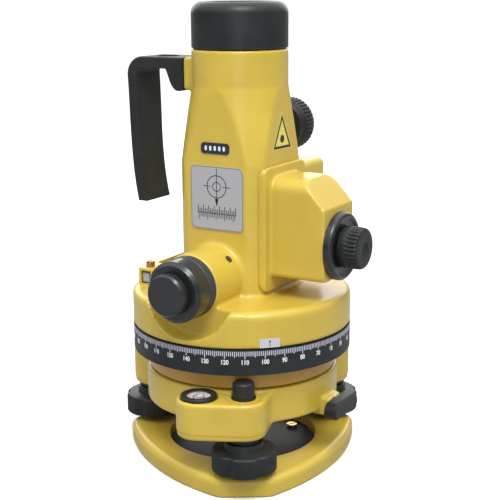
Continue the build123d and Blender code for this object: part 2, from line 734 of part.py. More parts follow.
with BuildPart() as power_knob:
    with BuildSketch(plane_x(PLATE_OUT - 0.8, z=LASER_Z)):
        Circle(12)
    extrude(amount=80.8 - PLATE_OUT + 0.8)
    fillet(power_knob.edges().group_by(Axis.X)[-1], radius=1.2)
    with BuildSketch(plane_x(79.6, z=LASER_Z)):
        Circle(4)
    extrude(amount=2, mode=Mode.SUBTRACT)
    with BuildSketch(plane_x(54, z=LASER_Z)):
        Circle(PINION_SHAFT_R)
    extrude(amount=PLATE_OUT - 0.8 - 54)
save(power_knob.part, "power_knob")

# ---------------------------------------------------------------- battery housing
COVER_IN = 47.2
with BuildPart() as battery_housing:
    with BuildSketch(Plane.XZ.offset(-BATTERY_Y)):
        with Locations((0, (BATTERY_LOW + BATTERY_TOP) / 2)):
            RectangleRounded(2 * BATTERY_X, BATTERY_TOP - BATTERY_LOW, 4)
    extrude(amount=BATTERY_Y - 22)
    fillet(battery_housing.edges().group_by(Axis.Y)[-1], radius=1.5)
    add(column.part, mode=Mode.SUBTRACT)
    add(laser_housing.part, mode=Mode.SUBTRACT)
    with BuildSketch(Plane.XZ.offset(-BATTERY_Y)):
        with Locations((0, (BATTERY_LOW + BATTERY_TOP) / 2)):
            RectangleRounded(2 * BATTERY_X - 6, BATTERY_TOP - BATTERY_LOW - 6, 2)
    extrude(amount=BATTERY_Y - COVER_IN, mode=Mode.SUBTRACT)
    with BuildSketch(Plane.XZ.offset(-BATTERY_Y)):
        with Locations((0, (BATTERY_LOW + BATTERY_TOP) / 2)):
            RectangleRounded(2 * BATTERY_X - 9, BATTERY_TOP - BATTERY_LOW - 9, 2)
    extrude(amount=BATTERY_Y - 30.5, mode=Mode.SUBTRACT)
save(battery_housing.part, "battery_housing")

with BuildPart() as battery_cells:
    with BuildSketch(Plane.XY.offset(120.5)):
        with Locations((-15.5, 38.5), (0, 38.5), (15.5, 38.5)):
            Circle(7.1)
    extrude(amount=49.5)
    with BuildSketch(Plane.XY.offset(170)):
        with Locations((-15.5, 38.5), (0, 38.5), (15.5, 38.5)):
            Circle(2.6)
    extrude(amount=1.2)
save(battery_cells.part, "battery_cells")

SCREW_Z = 126.0
with BuildPart() as battery_cover:
    with BuildSketch(Plane.XZ.offset(-BATTERY_Y - 0.4)):
        with Locations((0, (BATTERY_LOW + BATTERY_TOP) / 2)):
            RectangleRounded(2 * BATTERY_X - 6.6, BATTERY_TOP - BATTERY_LOW - 6.6, 2)
    extrude(amount=BATTERY_Y + 0.4 - COVER_IN - 0.1)
    chamfer(battery_cover.edges().group_by(Axis.Y)[-1], length=0.6)
    with BuildSketch(plane_y(46, 0, SCREW_Z)):
        Circle(2.55)
    extrude(amount=6, mode=Mode.SUBTRACT)
save(battery_cover.part, "battery_cover")

with BuildPart() as cover_screw:
    with BuildSketch(plane_y(BATTERY_Y + 0.7, 0, SCREW_Z)):
        Circle(6)
    extrude(amount=5)
    chamfer(cover_screw.edges().group_by(Axis.Y)[-1], length=0.8)
    with BuildSketch(plane_y(46.0, 0, SCREW_Z)):
        Circle(2.5)
    extrude(amount=BATTERY_Y + 0.7 - 46.0)
save(cover_screw.part, "cover_screw")

# ---------------------------------------------------------------- plate level, handle, plates
LEVEL_X = -47.2
with BuildPart() as plate_level_case:
    with BuildSketch(Plane.XY.offset(DECK)):
        with Locations((LEVEL_X, 0)):
            RectangleRounded(11.5, 64, 1)
    extrude(amount=10.4)
    chamfer(plate_level_case.edges().group_by(Axis.Z)[-1], length=0.6)
    with BuildSketch(plane_y(-33, LEVEL_X, DECK + 5)):
        Rectangle(5, 7)
    extrude(amount=66, mode=Mode.SUBTRACT)
    with BuildSketch(Plane.XY.offset(DECK + 5)):
        with Locations((LEVEL_X, 0)):
            SlotOverall(34, 6, rotation=90)
    extrude(amount=10, mode=Mode.SUBTRACT)
save(plate_level_case.part, "plate_level_case")

with BuildPart() as plate_level_vial:
    with BuildSketch(plane_y(-30, LEVEL_X, DECK + 5)):
        Circle(2.45)
    extrude(amount=60)
save(plate_level_vial.part, "plate_level_vial")

with BuildPart() as plate_level_screw:
    with Locations((LEVEL_X, -27, DECK + 10.4)):
        Cylinder(2.7, 3.6, align=(Align.CENTER, Align.CENTER, Align.MIN))
    with Locations((LEVEL_X, -27, DECK + 14.0)):
        Box(0.9, 6, 1.6, mode=Mode.SUBTRACT)
save(plate_level_screw.part, "plate_level_screw")

with BuildPart() as handle:
    with BuildSketch(Plane.XZ.offset(12)):
        with BuildLine():
            outer_top = Line((-31.7, 238.5), (-61, 238.5))
            outer_turn = TangentArc((-61, 238.5), (-72, 227), tangent=(-1, 0))
            outer_grip = Spline((-72, 227), (-71, 199), (-69.5, 173), (-66.2, 151.6))
            tip = Line((-66.2, 151.6), (-59.4, 151.6))
            inner_grip = Spline((-59.4, 151.6), (-62.8, 173), (-64.2, 199), (-65, 228))
            inner_turn = TangentArc((-65, 228), (-61.2, 231.8), tangent=inner_grip % 1)
            arm_under = Line(inner_turn @ 1, (-44, 231.8))
            gusset = Spline((-44, 231.8), (-41.2, 225), (-38.5, 220.6), (-31.7, 219.8))
            Line((-31.7, 219.8), (-31.7, 238.5))
        make_face()
    extrude(amount=-24)
    fillet(handle.edges().filter_by(GeomType.LINE).filter_by(Axis.X).group_by(Axis.Z)[-1], radius=1)
    with BuildSketch(Plane.XY.offset(238.5)):
        with Locations((-50, 0)):
            Circle(7)
    extrude(amount=-0.8, mode=Mode.SUBTRACT)
    with BuildSketch(Plane.YZ.offset(-45)):
        with Locations((-6, 226), (6, 226)):
            Circle(3.6)
    extrude(amount=7, mode=Mode.SUBTRACT)
    with BuildSketch(Plane.YZ.offset(-45)):
        with Locations((-6, 226), (6, 226)):
            Circle(2)
    extrude(amount=15, mode=Mode.SUBTRACT)
save(handle.part, "handle")

with BuildPart() as handle_screws:
    with BuildSketch(Plane.YZ.offset(-38)):
        with Locations((-6, 226), (6, 226)):
            Circle(3.4)
    extrude(amount=-3)
    with BuildSketch(Plane.YZ.offset(-38)):
        with Locations((-6, 226), (6, 226)):
            Circle(2)
    extrude(amount=11.5)
save(handle_screws.part, "handle_screws")

with BuildPart() as label_plate:
    with BuildSketch(plane_front(-SQUARE)):
        with Locations((1.15, 161.4)):
            RectangleRounded(34.9, 36.6, 3)
    extrude(amount=0.5)
save(label_plate.part, "label_plate")

with BuildPart() as serial_plate:
    with BuildSketch(plane_front(-SQUARE)):
        with Locations((0.3, 190)):
            RectangleRounded(18.7, 6.3, 2)
    extrude(amount=0.5)
save(serial_plate.part, "serial_plate")

INDEX_ANGLE = -45.0
with BuildPart() as index_plate:
    with BuildSketch(Plane.XY.offset(85.1)):
        Circle(RING_R + 0.4)
        Circle(RING_R, mode=Mode.SUBTRACT)
        with Locations(Location((*polar(RING_R, INDEX_ANGLE), 0), (0, 0, INDEX_ANGLE))):
            Rectangle(8, 11.7, mode=Mode.INTERSECT)
    extrude(amount=5.0)
save(index_plate.part, "index_plate")

with BuildPart() as eyepiece_grub_screw:
    with BuildSketch(GRUB_PLANE.offset(-0.8)):
        Circle(1.6)
    extrude(amount=-3.6)
save(eyepiece_grub_screw.part, "eyepiece_grub_screw")
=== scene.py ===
"""Laser plumbing instrument on a three-screw tribrach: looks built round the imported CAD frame.

Lengths are written in millimetres and turned into metres as each mesh is made.
"""
from math import cos, pi, radians, sin

import bpy
import numpy as np
from mathutils import Matrix, Vector


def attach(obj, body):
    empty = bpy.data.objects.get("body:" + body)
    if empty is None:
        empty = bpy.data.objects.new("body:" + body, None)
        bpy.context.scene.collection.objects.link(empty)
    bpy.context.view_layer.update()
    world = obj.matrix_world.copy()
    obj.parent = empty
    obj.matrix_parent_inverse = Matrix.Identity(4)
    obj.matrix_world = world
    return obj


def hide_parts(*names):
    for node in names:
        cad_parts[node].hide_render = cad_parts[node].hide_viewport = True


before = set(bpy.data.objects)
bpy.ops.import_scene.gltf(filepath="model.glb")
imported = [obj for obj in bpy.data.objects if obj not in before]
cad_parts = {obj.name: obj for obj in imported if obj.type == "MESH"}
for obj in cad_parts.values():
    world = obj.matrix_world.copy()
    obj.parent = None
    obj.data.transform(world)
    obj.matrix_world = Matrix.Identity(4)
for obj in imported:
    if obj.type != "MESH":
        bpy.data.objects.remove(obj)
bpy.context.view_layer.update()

MM = 0.001

# ------------------------------------------------------------------ base plate
# The base plate is an aluminium casting with three bowed sides, sand-blasted and
# finished in mustard stove enamel, which leaves a faint orange peel over the grain.


def new_group(name, inputs, outputs):
    """An empty shader group with its named sockets: inputs as (name, default), outputs as names."""
    group = bpy.data.node_groups.new(name, "ShaderNodeTree")
    for label, value in inputs:
        socket = group.interface.new_socket(label, in_out="INPUT", socket_type="NodeSocketFloat")
        socket.default_value = value
    for label in outputs:
        group.interface.new_socket(label, in_out="OUTPUT", socket_type="NodeSocketFloat")
    return group, group.nodes.new("NodeGroupInput"), group.nodes.new("NodeGroupOutput")


def add_noise(tree, vector, scale, detail):
    """A noise texture read at this vector, returned as its node."""
    noise = tree.nodes.new("ShaderNodeTexNoise")
    tree.links.new(vector, noise.inputs["Vector"])
    if hasattr(scale, "is_linked"):
        tree.links.new(scale, noise.inputs["Scale"])
    else:
        noise.inputs["Scale"].default_value = scale
    noise.inputs["Detail"].default_value = detail
    return noise


def add_math(tree, operation, *values):
    """A math node whose inputs are sockets or plain numbers, returned as its output socket."""
    node = tree.nodes.new("ShaderNodeMath")
    node.operation = operation
    for socket, value in zip(node.inputs, values):
        if isinstance(value, (int, float)):
            socket.default_value = value
        else:
            tree.links.new(value, socket)
    return node.outputs[0]


def build_coat_group():
    """Enamel over a casting: cloudy tone, orange peel with faint level streaks, dull patches."""
    group, given, out = new_group(
        "enamel_over_casting",
        [("Peel Scale", 700.0), ("Peel", 1.0), ("Streaks", 0.5), ("Gloss Loss", 0.1),
         ("Base Roughness", 0.3)],
        ["Tone", "Height", "Roughness"],
    )
    place = group.nodes.new("ShaderNodeTexCoord").outputs["Object"]
    cloud = add_noise(group, place, 28.0, 3.0)
    peel = add_noise(group, place, given.outputs["Peel Scale"], 2.0)
    stretch = group.nodes.new("ShaderNodeMapping")
    stretch.inputs["Scale"].default_value = (60.0, 60.0, 1300.0)
    group.links.new(place, stretch.inputs["Vector"])
    streak = add_noise(group, stretch.outputs[0], 1.0, 2.0)
    rubbed = add_noise(group, place, 160.0, 4.0)
    streaks = add_math(group, "MULTIPLY", streak.outputs["Fac"], given.outputs["Streaks"])
    tone = add_math(group, "MULTIPLY_ADD", streaks, 0.35, cloud.outputs["Fac"])
    group.links.new(tone, out.inputs["Tone"])
    bumps = add_math(group, "MULTIPLY", peel.outputs["Fac"], given.outputs["Peel"])
    group.links.new(add_math(group, "MULTIPLY_ADD", streaks, 0.5, bumps), out.inputs["Height"])
    loss = add_math(group, "MULTIPLY", rubbed.outputs["Fac"], given.outputs["Gloss Loss"])
    dull = add_math(group, "ADD", loss, given.outputs["Base Roughness"])
    group.links.new(dull, out.inputs["Roughness"])
    return group


def new_material(name):
    """A node material with its Principled shader, returned as (material, tree, shader)."""
    material = bpy.data.materials.new(name)
    material.use_nodes = True
    return material, material.node_tree, material.node_tree.nodes["Principled BSDF"]


def tone_ramp(tree, value, low, high, start, end):
    """Linear blend from the low colour to the high colour as value runs from start to end."""
    ramp = tree.nodes.new("ShaderNodeValToRGB")
    ramp.color_ramp.elements[0].position = start
    ramp.color_ramp.elements[0].color = (*low, 1)
    ramp.color_ramp.elements[1].position = end
    ramp.color_ramp.elements[1].color = (*high, 1)
    tree.links.new(value, ramp.inputs["Fac"])
    return ramp.outputs["Color"]


def bump_normal(tree, shader, height, distance, strength):
    """Height in metres times distance, tilting the shader's normal."""
    bump = tree.nodes.new("ShaderNodeBump")
    bump.inputs["Strength"].default_value = strength
    bump.inputs["Distance"].default_value = distance
    tree.links.new(height, bump.inputs["Height"])
    tree.links.new(bump.outputs["Normal"], shader.inputs["Normal"])


def skinned(name, group, values, dark, light, start=0.3, end=0.75):
    """A material whose tone and roughness come from a group given these values.

    Returned as (material, tree, shader, the group's node).
    """
    material, tree, shader = new_material(name)
    skin = tree.nodes.new("ShaderNodeGroup")
    skin.node_tree = group
    for label, value in values.items():
        skin.inputs[label].default_value = value
    colour = tone_ramp(tree, skin.outputs["Tone"], dark, light, start, end)
    tree.links.new(colour, shader.inputs["Base Color"])
    tree.links.new(skin.outputs["Roughness"], shader.inputs["Roughness"])
    return material, tree, shader, skin


def enamel(name, dark, light, roughness, streaks):
    """Stove enamel in two close tones over the casting's grain, with a thin clear gloss."""
    values = {"Base Roughness": roughness, "Streaks": streaks}
    material, tree, shader, coat = skinned(name, coat_group, values, dark, light, 0.35, 0.85)
    shader.inputs["Specular IOR Level"].default_value = 0.4
    shader.inputs["Coat Weight"].default_value = 0.5
    shader.inputs["Coat Roughness"].default_value = 0.18
    bump_normal(tree, shader, coat.outputs["Height"], 0.00012, 0.35)
    return material


def dress(material, *nodes):
    """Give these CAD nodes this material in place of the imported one."""
    for node in nodes:
        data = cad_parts[node].data
        data.materials.clear()
        data.materials.append(material)


coat_group = build_coat_group()
MUSTARD_DARK, MUSTARD_LIGHT = (0.57, 0.405, 0.048), (0.67, 0.490, 0.070)
body_enamel = enamel(
    "mustard enamel", MUSTARD_DARK, MUSTARD_LIGHT, roughness=0.33, streaks=0.6)
dress(body_enamel, "base_plate")

# ------------------------------------------------------------------ spring plate and insert
# A black lacquered spring plate lies in the base recess and holds the footscrew ends
# down. Three slotted brass screws fix it, round the brass insert for the tripod screw.


def build_moulding_group():
    """Fine grain of a dull black skin: tone, height, and roughness with rubbed patches."""
    group, given, out = new_group(
        "grained_skin",
        [("Grain Scale", 1400.0), ("Base Roughness", 0.4), ("Rubbing", 0.15)],
        ["Tone", "Height", "Roughness"],
    )
    place = group.nodes.new("ShaderNodeTexCoord").outputs["Object"]
    grain = add_noise(group, place, given.outputs["Grain Scale"], 3.0)
    cloud = add_noise(group, place, 45.0, 4.0)
    rubbed = add_math(group, "MULTIPLY", cloud.outputs["Fac"], given.outputs["Rubbing"])
    group.links.new(cloud.outputs["Fac"], out.inputs["Tone"])
    group.links.new(grain.outputs["Fac"], out.inputs["Height"])
    dull = add_math(group, "ADD", rubbed, given.outputs["Base Roughness"])
    group.links.new(dull, out.inputs["Roughness"])
    return group


def moulding(name, dark, light, roughness, grain_scale, depth, coat=0.0):
    """Grained black finish, moulded, lacquered or anodised, in two close tones."""
    values = {"Base Roughness": roughness, "Grain Scale": grain_scale}
    material, tree, shader, skin = skinned(name, moulding_group, values, dark, light)
    shader.inputs["Specular IOR Level"].default_value = 0.35
    shader.inputs["Coat Weight"].default_value = coat
    shader.inputs["Coat Roughness"].default_value = 0.15
    bump_normal(tree, shader, skin.outputs["Height"], 0.00008, depth)
    return material


def build_turning_group():
    """Lathe marks: rings about one axis through a centre, over a soft stain."""
    group, given, out = new_group(
        "lathe_marks",
        [("Pitch", 5000.0), ("Base Roughness", 0.25)],
        ["Tone", "Height", "Roughness"],
    )
    place = group.nodes.new("ShaderNodeTexCoord").outputs["Object"]
    wave = group.nodes.new("ShaderNodeTexWave")
    wave.wave_type = "RINGS"
    wave.rings_direction = "SPHERICAL"
    wave.inputs["Distortion"].default_value = 2.0
    wave.inputs["Detail"].default_value = 2.0
    group.links.new(place, wave.inputs["Vector"])
    group.links.new(given.outputs["Pitch"], wave.inputs["Scale"])
    stain = add_noise(group, place, 120.0, 4.0)
    group.links.new(stain.outputs["Fac"], out.inputs["Tone"])
    group.links.new(wave.outputs["Fac"], out.inputs["Height"])
    base = given.outputs["Base Roughness"]
    dull = add_math(group, "MULTIPLY_ADD", stain.outputs["Fac"], 0.18, base)
    group.links.new(dull, out.inputs["Roughness"])
    return group


def machined(name, dark, light, roughness, pitch=900.0):
    """Bare turned or ground metal with fine lathe marks and a little staining."""
    values = {"Base Roughness": roughness, "Pitch": pitch}
    material, tree, shader, cut = skinned(name, turning_group, values, dark, light)
    shader.inputs["Metallic"].default_value = 1.0
    bump_normal(tree, shader, cut.outputs["Height"], 0.00002, 0.25)
    return material


moulding_group = build_moulding_group()
turning_group = build_turning_group()
LACQUER_DARK, LACQUER_LIGHT = (0.008, 0.009, 0.010), (0.018, 0.020, 0.022)
black_lacquer = moulding("black lacquer", LACQUER_DARK, LACQUER_LIGHT, 0.5, 900.0, 0.15)
turned_brass = machined("turned brass", (0.50, 0.30, 0.09), (0.78, 0.54, 0.22), 0.2)
dress(black_lacquer, "spring_plate")
dress(turned_brass, "spring_plate_screws", "thread_insert")

# ------------------------------------------------------------------ footscrews
# Three black moulded knobs on ground steel screws, each with six scallops for the
# fingertips and fine straight ribs, and a raised hub round the dust sleeve.
FOOT_ANGLES = (-58, 62, 182)
FOOT_R = 63.5
KNOB_R = 18.7
KNOB_LOW, KNOB_HIGH, HUB_TOP = 14.3, 26.3, 31.0
KNOB_BORE = 4.02
SCALLOPS = 6
SCALLOP_R, SCALLOP_AT = 6.4, 23.9
KNOB_RIBS = 90
RIB_DEPTH = 0.32
STEPS_PER_RIB = 8


def grid_faces(rows, columns, close_rows):
    """Quads of a grid whose columns run right round, and whose rows may close too."""
    index = np.arange(rows * columns).reshape(rows, columns)
    below = index if close_rows else index[:-1]
    above = np.roll(index, -1, axis=0) if close_rows else index[1:]
    beside, across_from = np.roll(below, -1, axis=1), np.roll(above, -1, axis=1)
    return np.stack([below, beside, across_from, above], axis=-1).reshape(-1, 4)


def make_piece(name, points, faces, material, smooth_angle=32.0):
    """A mesh object at the origin from points in millimetres, smooth below the edge angle."""
    data = bpy.data.meshes.new(name)
    corners = [list(map(int, face)) for face in faces]
    data.from_pydata((np.asarray(points, float) * MM).tolist(), [], corners)
    data.polygons.foreach_set("use_smooth", np.ones(len(data.polygons), bool))
    data.set_sharp_from_angle(angle=radians(smooth_angle))
    data.materials.append(material)
    data.update()
    piece = bpy.data.objects.new(name, data)
    bpy.context.scene.collection.objects.link(piece)
    return piece


def turned_solid(radii, heights, frame_axes, centre):
    """Rings of radius radii[row, column] at each height along an axis.

    A point is centre + axis * height + radius * (across * cos + up * sin). Rows whose
    radius is nothing become poles. Returns points and faces, closed at both ends.
    """
    across, upward, axis = (np.asarray(v, float) for v in frame_axes)
    radii = np.asarray(radii, float)
    heights = np.asarray(heights, float)
    rows, columns = radii.shape
    turn = np.arange(columns) * 2 * pi / columns
    ring = np.cos(turn)[None, :, None] * across + np.sin(turn)[None, :, None] * upward
    points = np.asarray(centre, float) + heights[:, None, None] * axis + radii[..., None] * ring
    points = points.reshape(-1, 3)
    poles = radii.max(axis=1) < 1e-6
    if not poles.any():
        return points, grid_faces(rows, columns, True)
    body = points.reshape(rows, columns, 3)[1:-1]
    faces = grid_faces(rows - 2, columns, False).tolist()
    first, last = len(body) * columns, len(body) * columns + 1
    column = np.arange(columns)
    beside = np.roll(column, -1)
    top = (rows - 3) * columns
    faces += np.stack([beside, column, np.full(columns, first)], axis=1).tolist()
    faces += np.stack([top + column, top + beside, np.full(columns, last)], axis=1).tolist()
    ends = np.array([points[0], points[-1]])
    return np.concatenate([body.reshape(-1, 3), ends]), faces


def scalloped(turn):
    """Knob outline: a circle cut by six round scallops, softened; footscrew_knob cuts the ribs from
    it.
    """
    spacing = 2 * pi / SCALLOPS
    away = (turn - pi / 6 + spacing / 2) % spacing - spacing / 2
    reach = SCALLOP_R**2 - (SCALLOP_AT * np.sin(away)) ** 2
    cut = SCALLOP_AT * np.cos(away) - np.sqrt(np.maximum(reach, 0))
    outline = np.where(reach > 0, np.minimum(cut, KNOB_R), KNOB_R)
    width = len(turn) // 60
    kernel = np.hanning(width + 2)[1:-1]
    wrapped = np.concatenate([outline[-width:], outline, outline[:width]])
    return np.convolve(wrapped, kernel / kernel.sum(), mode="same")[width:-width]


def foot_seat(angle, height):
    """The point on a footscrew's axis at this height."""
    return (FOOT_R * cos(radians(angle)), FOOT_R * sin(radians(angle)), height)


def footscrew_knob(name, angle, material):
    """The knob as rings: bore, foot, ribbed side, shoulder, hub and the sleeve's cup.

    A ring is (radius, height, share of the rib's depth cut away). A rib is the power
    1.5 of a raised cosine wave round the knob.
    """
    columns = KNOB_RIBS * STEPS_PER_RIB
    turn = np.arange(columns) * 2 * pi / columns
    side = scalloped(turn)
    ribs = RIB_DEPTH * (0.5 - 0.5 * np.cos(KNOB_RIBS * turn)) ** 1.5
    rows = [
        (KNOB_BORE, KNOB_LOW, 0), (side - 1.6, KNOB_LOW, 0), (side - 0.9, KNOB_LOW + 0.15, 0),
        (side - 0.3, KNOB_LOW + 0.6, 0.6), (side, KNOB_LOW + 1.3, 1), (side, KNOB_HIGH - 1.6, 1),
        (side - 0.25, KNOB_HIGH - 0.8, 0.8), (side - 0.9, KNOB_HIGH - 0.2, 0.3),
        (side - 1.7, KNOB_HIGH, 0), (11.9, KNOB_HIGH, 0), (11.3, KNOB_HIGH + 0.25, 0),
        (11.1, KNOB_HIGH + 0.8, 0), (11.0, HUB_TOP - 0.7, 0), (10.8, HUB_TOP - 0.2, 0),
        (10.4, HUB_TOP, 0), (9.8, HUB_TOP, 0), (9.45, HUB_TOP - 0.3, 0), (9.4, KNOB_HIGH, 0),
        (KNOB_BORE, KNOB_HIGH, 0),
    ]
    radii = np.array([np.broadcast_to(radius, columns) - share * ribs for radius, _, share in rows])
    heights = [height for _, height, _ in rows]
    outward = (cos(radians(angle)), sin(radians(angle)), 0)
    sideways = (-sin(radians(angle)), cos(radians(angle)), 0)
    axes = (outward, sideways, (0, 0, 1))
    points, faces = turned_solid(radii, heights, axes, foot_seat(angle, 0))
    return make_piece(name, points, faces, material)


KNOB_DARK, KNOB_LIGHT = (0.012, 0.0145, 0.015), (0.026, 0.030, 0.031)
knob_black = moulding("moulded black", KNOB_DARK, KNOB_LIGHT, 0.34, 1500.0, 0.35)
ground_steel = machined("ground steel", (0.42, 0.42, 0.41), (0.66, 0.66, 0.64), 0.22)
for number, angle in enumerate(FOOT_ANGLES, start=1):
    knob = footscrew_knob(f"footscrew_grip_{number}", angle, knob_black)
    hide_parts(f"footscrew_knob_{number}")
    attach(knob, f"footscrew_{number}")
    dress(ground_steel, f"footscrew_spindle_{number}")

# ------------------------------------------------------------------ tribrach
# The tribrach is one enamelled casting with three arms, its edges softened by the
# mould and the blasting. Black dust sleeves hang below the arms, and black caps
# close the tops of the screw bores.
CAST_BLEND = (0.10, 0.40)
ARM_TOP = 55.8
FLANGE_SEAT_R, FLANGE_SEAT_Z = 55.5, 53
LEVEL_AT = (10.9, -64.6)


def vertex_array(data, unit=MM):
    """The vertices of a mesh as rows, in lengths of this unit."""
    points = np.zeros(len(data.vertices) * 3)
    data.vertices.foreach_get("co", points)
    return points.reshape(-1, 3) / unit


def with_modifier(data, kind, **settings):
    """The mesh that this modifier makes of data."""
    holder = bpy.data.objects.new("casting blank", data)
    bpy.context.scene.collection.objects.link(holder)
    modifier = holder.modifiers.new("step", kind)
    for key, value in settings.items():
        setattr(modifier, key, value)
    bpy.context.view_layer.update()
    made = holder.evaluated_get(bpy.context.evaluated_depsgraph_get())
    result = bpy.data.meshes.new_from_object(made)
    bpy.data.objects.remove(holder)
    return result


def laid_on(data, target):
    """A copy of the mesh with every vertex moved to the nearest point of target's faces."""
    nearest = {"target": target, "wrap_method": "NEAREST_SURFACEPOINT"}
    return with_modifier(data.copy(), "SHRINKWRAP", **nearest)


def relaxed(points, edges, passes):
    """Move every point to the mean of its neighbours, this many times."""
    count = np.bincount(edges.ravel(), minlength=len(points))[:, None]
    for _ in range(passes):
        total = np.zeros_like(points)
        for axis in range(3):
            total[:, axis] = np.bincount(edges[:, 0], points[edges[:, 1], axis], len(points))
            total[:, axis] += np.bincount(edges[:, 1], points[edges[:, 0], axis], len(points))
        points = total / count
    return points


def soft_casting(name, node, voxel, crisp_passes, soft_passes, soft_share, material):
    """A copy of a CAD casting with rounded edges and filled corners.

    The copy is rebuilt in even cells and relaxed twice, a little and a lot; soft_share
    picks between the two by place. Where the relaxed skin stays within a tenth of a
    millimetre of the CAD face it goes back on that face, so flats and bores stay true.
    """
    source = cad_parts[node]
    blank = with_modifier(source.data.copy(), "WELD", merge_threshold=1e-6)
    cells = with_modifier(blank, "REMESH", mode="VOXEL", voxel_size=voxel * MM, adaptivity=0.0)
    start = vertex_array(laid_on(cells, source))
    edges = np.zeros(len(cells.edges) * 2, np.int64)
    cells.edges.foreach_get("vertices", edges)
    edges = edges.reshape(-1, 2)
    crisp = relaxed(start, edges, crisp_passes)
    soft = relaxed(crisp, edges, soft_passes)
    share = soft_share(start)[:, None]
    skin = crisp * (1 - share) + soft * share
    cells.vertices.foreach_set("co", (skin * MM).ravel())
    cells.update()
    face = vertex_array(laid_on(cells, source))
    gap = np.linalg.norm(skin - face, axis=1)
    keep = np.clip((gap - CAST_BLEND[0]) / (CAST_BLEND[1] - CAST_BLEND[0]), 0, 1)[:, None]
    keep = keep * keep * (3 - 2 * keep)
    keep = relaxed(keep * np.ones(3), edges, 2)
    cells.vertices.foreach_set("co", ((face + keep * (skin - face)) * MM).ravel())
    cells.polygons.foreach_set("use_smooth", np.ones(len(cells.polygons), bool))
    cells.materials.clear()
    cells.materials.append(material)
    cells.update()
    cells.name = name
    casting = bpy.data.objects.new(name, cells)
    bpy.context.scene.collection.objects.link(casting)
    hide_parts(node)
    return casting


def near(points, centre, reach):
    """1 at the centre falling to 0 at reach, in millimetres."""
    return np.clip(1 - np.linalg.norm(points - centre, axis=1) / reach, 0, 1)


def tribrach_softness(points):
    """Full blending, but none at the flange seat, the level's seat and the screw bores."""
    in_seat = np.hypot(points[:, 0], points[:, 1]) < FLANGE_SEAT_R
    soft = 1.0 - (in_seat & (points[:, 2] > FLANGE_SEAT_Z))
    soft = soft * (1 - np.clip(8 * near(points, (*LEVEL_AT, ARM_TOP), 13.0), 0, 1))
    for angle in FOOT_ANGLES:
        soft = soft * (1 - np.clip(8 * near(points, foot_seat(angle, ARM_TOP), 12.0), 0, 1))
    return soft


def turned_piece(name, profile, columns, frame_axes, centre, material, smooth_angle=32.0):
    """A plain turned piece from (radius, height) pairs, with a pole at each end at radius 0."""
    radii = np.array([[radius] * columns for radius, _ in profile])
    heights = [height for _, height in profile]
    points, faces = turned_solid(radii, heights, frame_axes, centre)
    return make_piece(name, points, faces, material, smooth_angle)


UP_AXES = ((1, 0, 0), (0, 1, 0), (0, 0, 1))
tribrach_skin = soft_casting(
    "tribrach_casting", "tribrach_body", voxel=0.8, crisp_passes=2, soft_passes=5,
    soft_share=tribrach_softness, material=body_enamel,
)
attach(tribrach_skin, "tribrach")
collar_profile = [(6.6, 55.4), (9.6, 55.4), (9.6, 55.86), (6.6, 55.9)]
for number, angle in enumerate(FOOT_ANGLES, start=1):
    collar = turned_piece(
        f"arm_collar_{number}", collar_profile, 72, UP_AXES, foot_seat(angle, 0), body_enamel)
    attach(collar, "tribrach")
SLEEVE_DARK, SLEEVE_LIGHT = (0.009, 0.010, 0.0115), (0.020, 0.023, 0.026)
sleeve_black = moulding("anodised black", SLEEVE_DARK, SLEEVE_LIGHT, 0.3, 2200.0, 0.12, coat=0.15)
dress(sleeve_black, "footscrew_bushes")
dress(knob_black, "footscrew_caps")

# ------------------------------------------------------------------ circular level
# A round spirit level in a black turned cup: a pale silvered dial with one ring, a
# domed glass over clear spirit with its bubble, and a thin black bezel round the glass.
DIAL_Z = 54.6
DIAL_R = 7.9
GLASS_Z = 57.05
GLASS_R = 6.7
BEZEL_R = 7.98
BUBBLE_R, BUBBLE_HIGH = 2.1, 0.55


def clear_glass(name, tint, roughness, ior):
    """Polished clear material: full transmission with a slight tint."""
    material, tree, shader = new_material(name)
    place = tree.nodes.new("ShaderNodeTexCoord").outputs["Object"]
    smear = add_noise(tree, place, 60.0, 3.0)
    paler = [min(1.0, 1.06 * share) for share in tint]
    colour = tone_ramp(tree, smear.outputs["Fac"], tint, paler, 0.3, 0.7)
    tree.links.new(colour, shader.inputs["Base Color"])
    polish = add_math(tree, "MULTIPLY_ADD", smear.outputs["Fac"], 0.03, roughness)
    tree.links.new(polish, shader.inputs["Roughness"])
    shader.inputs["Transmission Weight"].default_value = 1.0
    shader.inputs["IOR"].default_value = ior
    return material


def speckled(name, dark, light, roughness, scale=1500.0, depth=0.1, coat=0.0, detail=3.0):
    """Printed, silvered or filled paint with a fine speckle between two close tones."""
    material, tree, shader = new_material(name)
    place = tree.nodes.new("ShaderNodeTexCoord").outputs["Object"]
    speckle = add_noise(tree, place, scale, detail)
    colour = tone_ramp(tree, speckle.outputs["Fac"], dark, light, 0.3, 0.7)
    tree.links.new(colour, shader.inputs["Base Color"])
    shader.inputs["Roughness"].default_value = roughness
    shader.inputs["Coat Weight"].default_value = coat
    bump_normal(tree, shader, speckle.outputs["Fac"], 0.00003, depth)
    return material


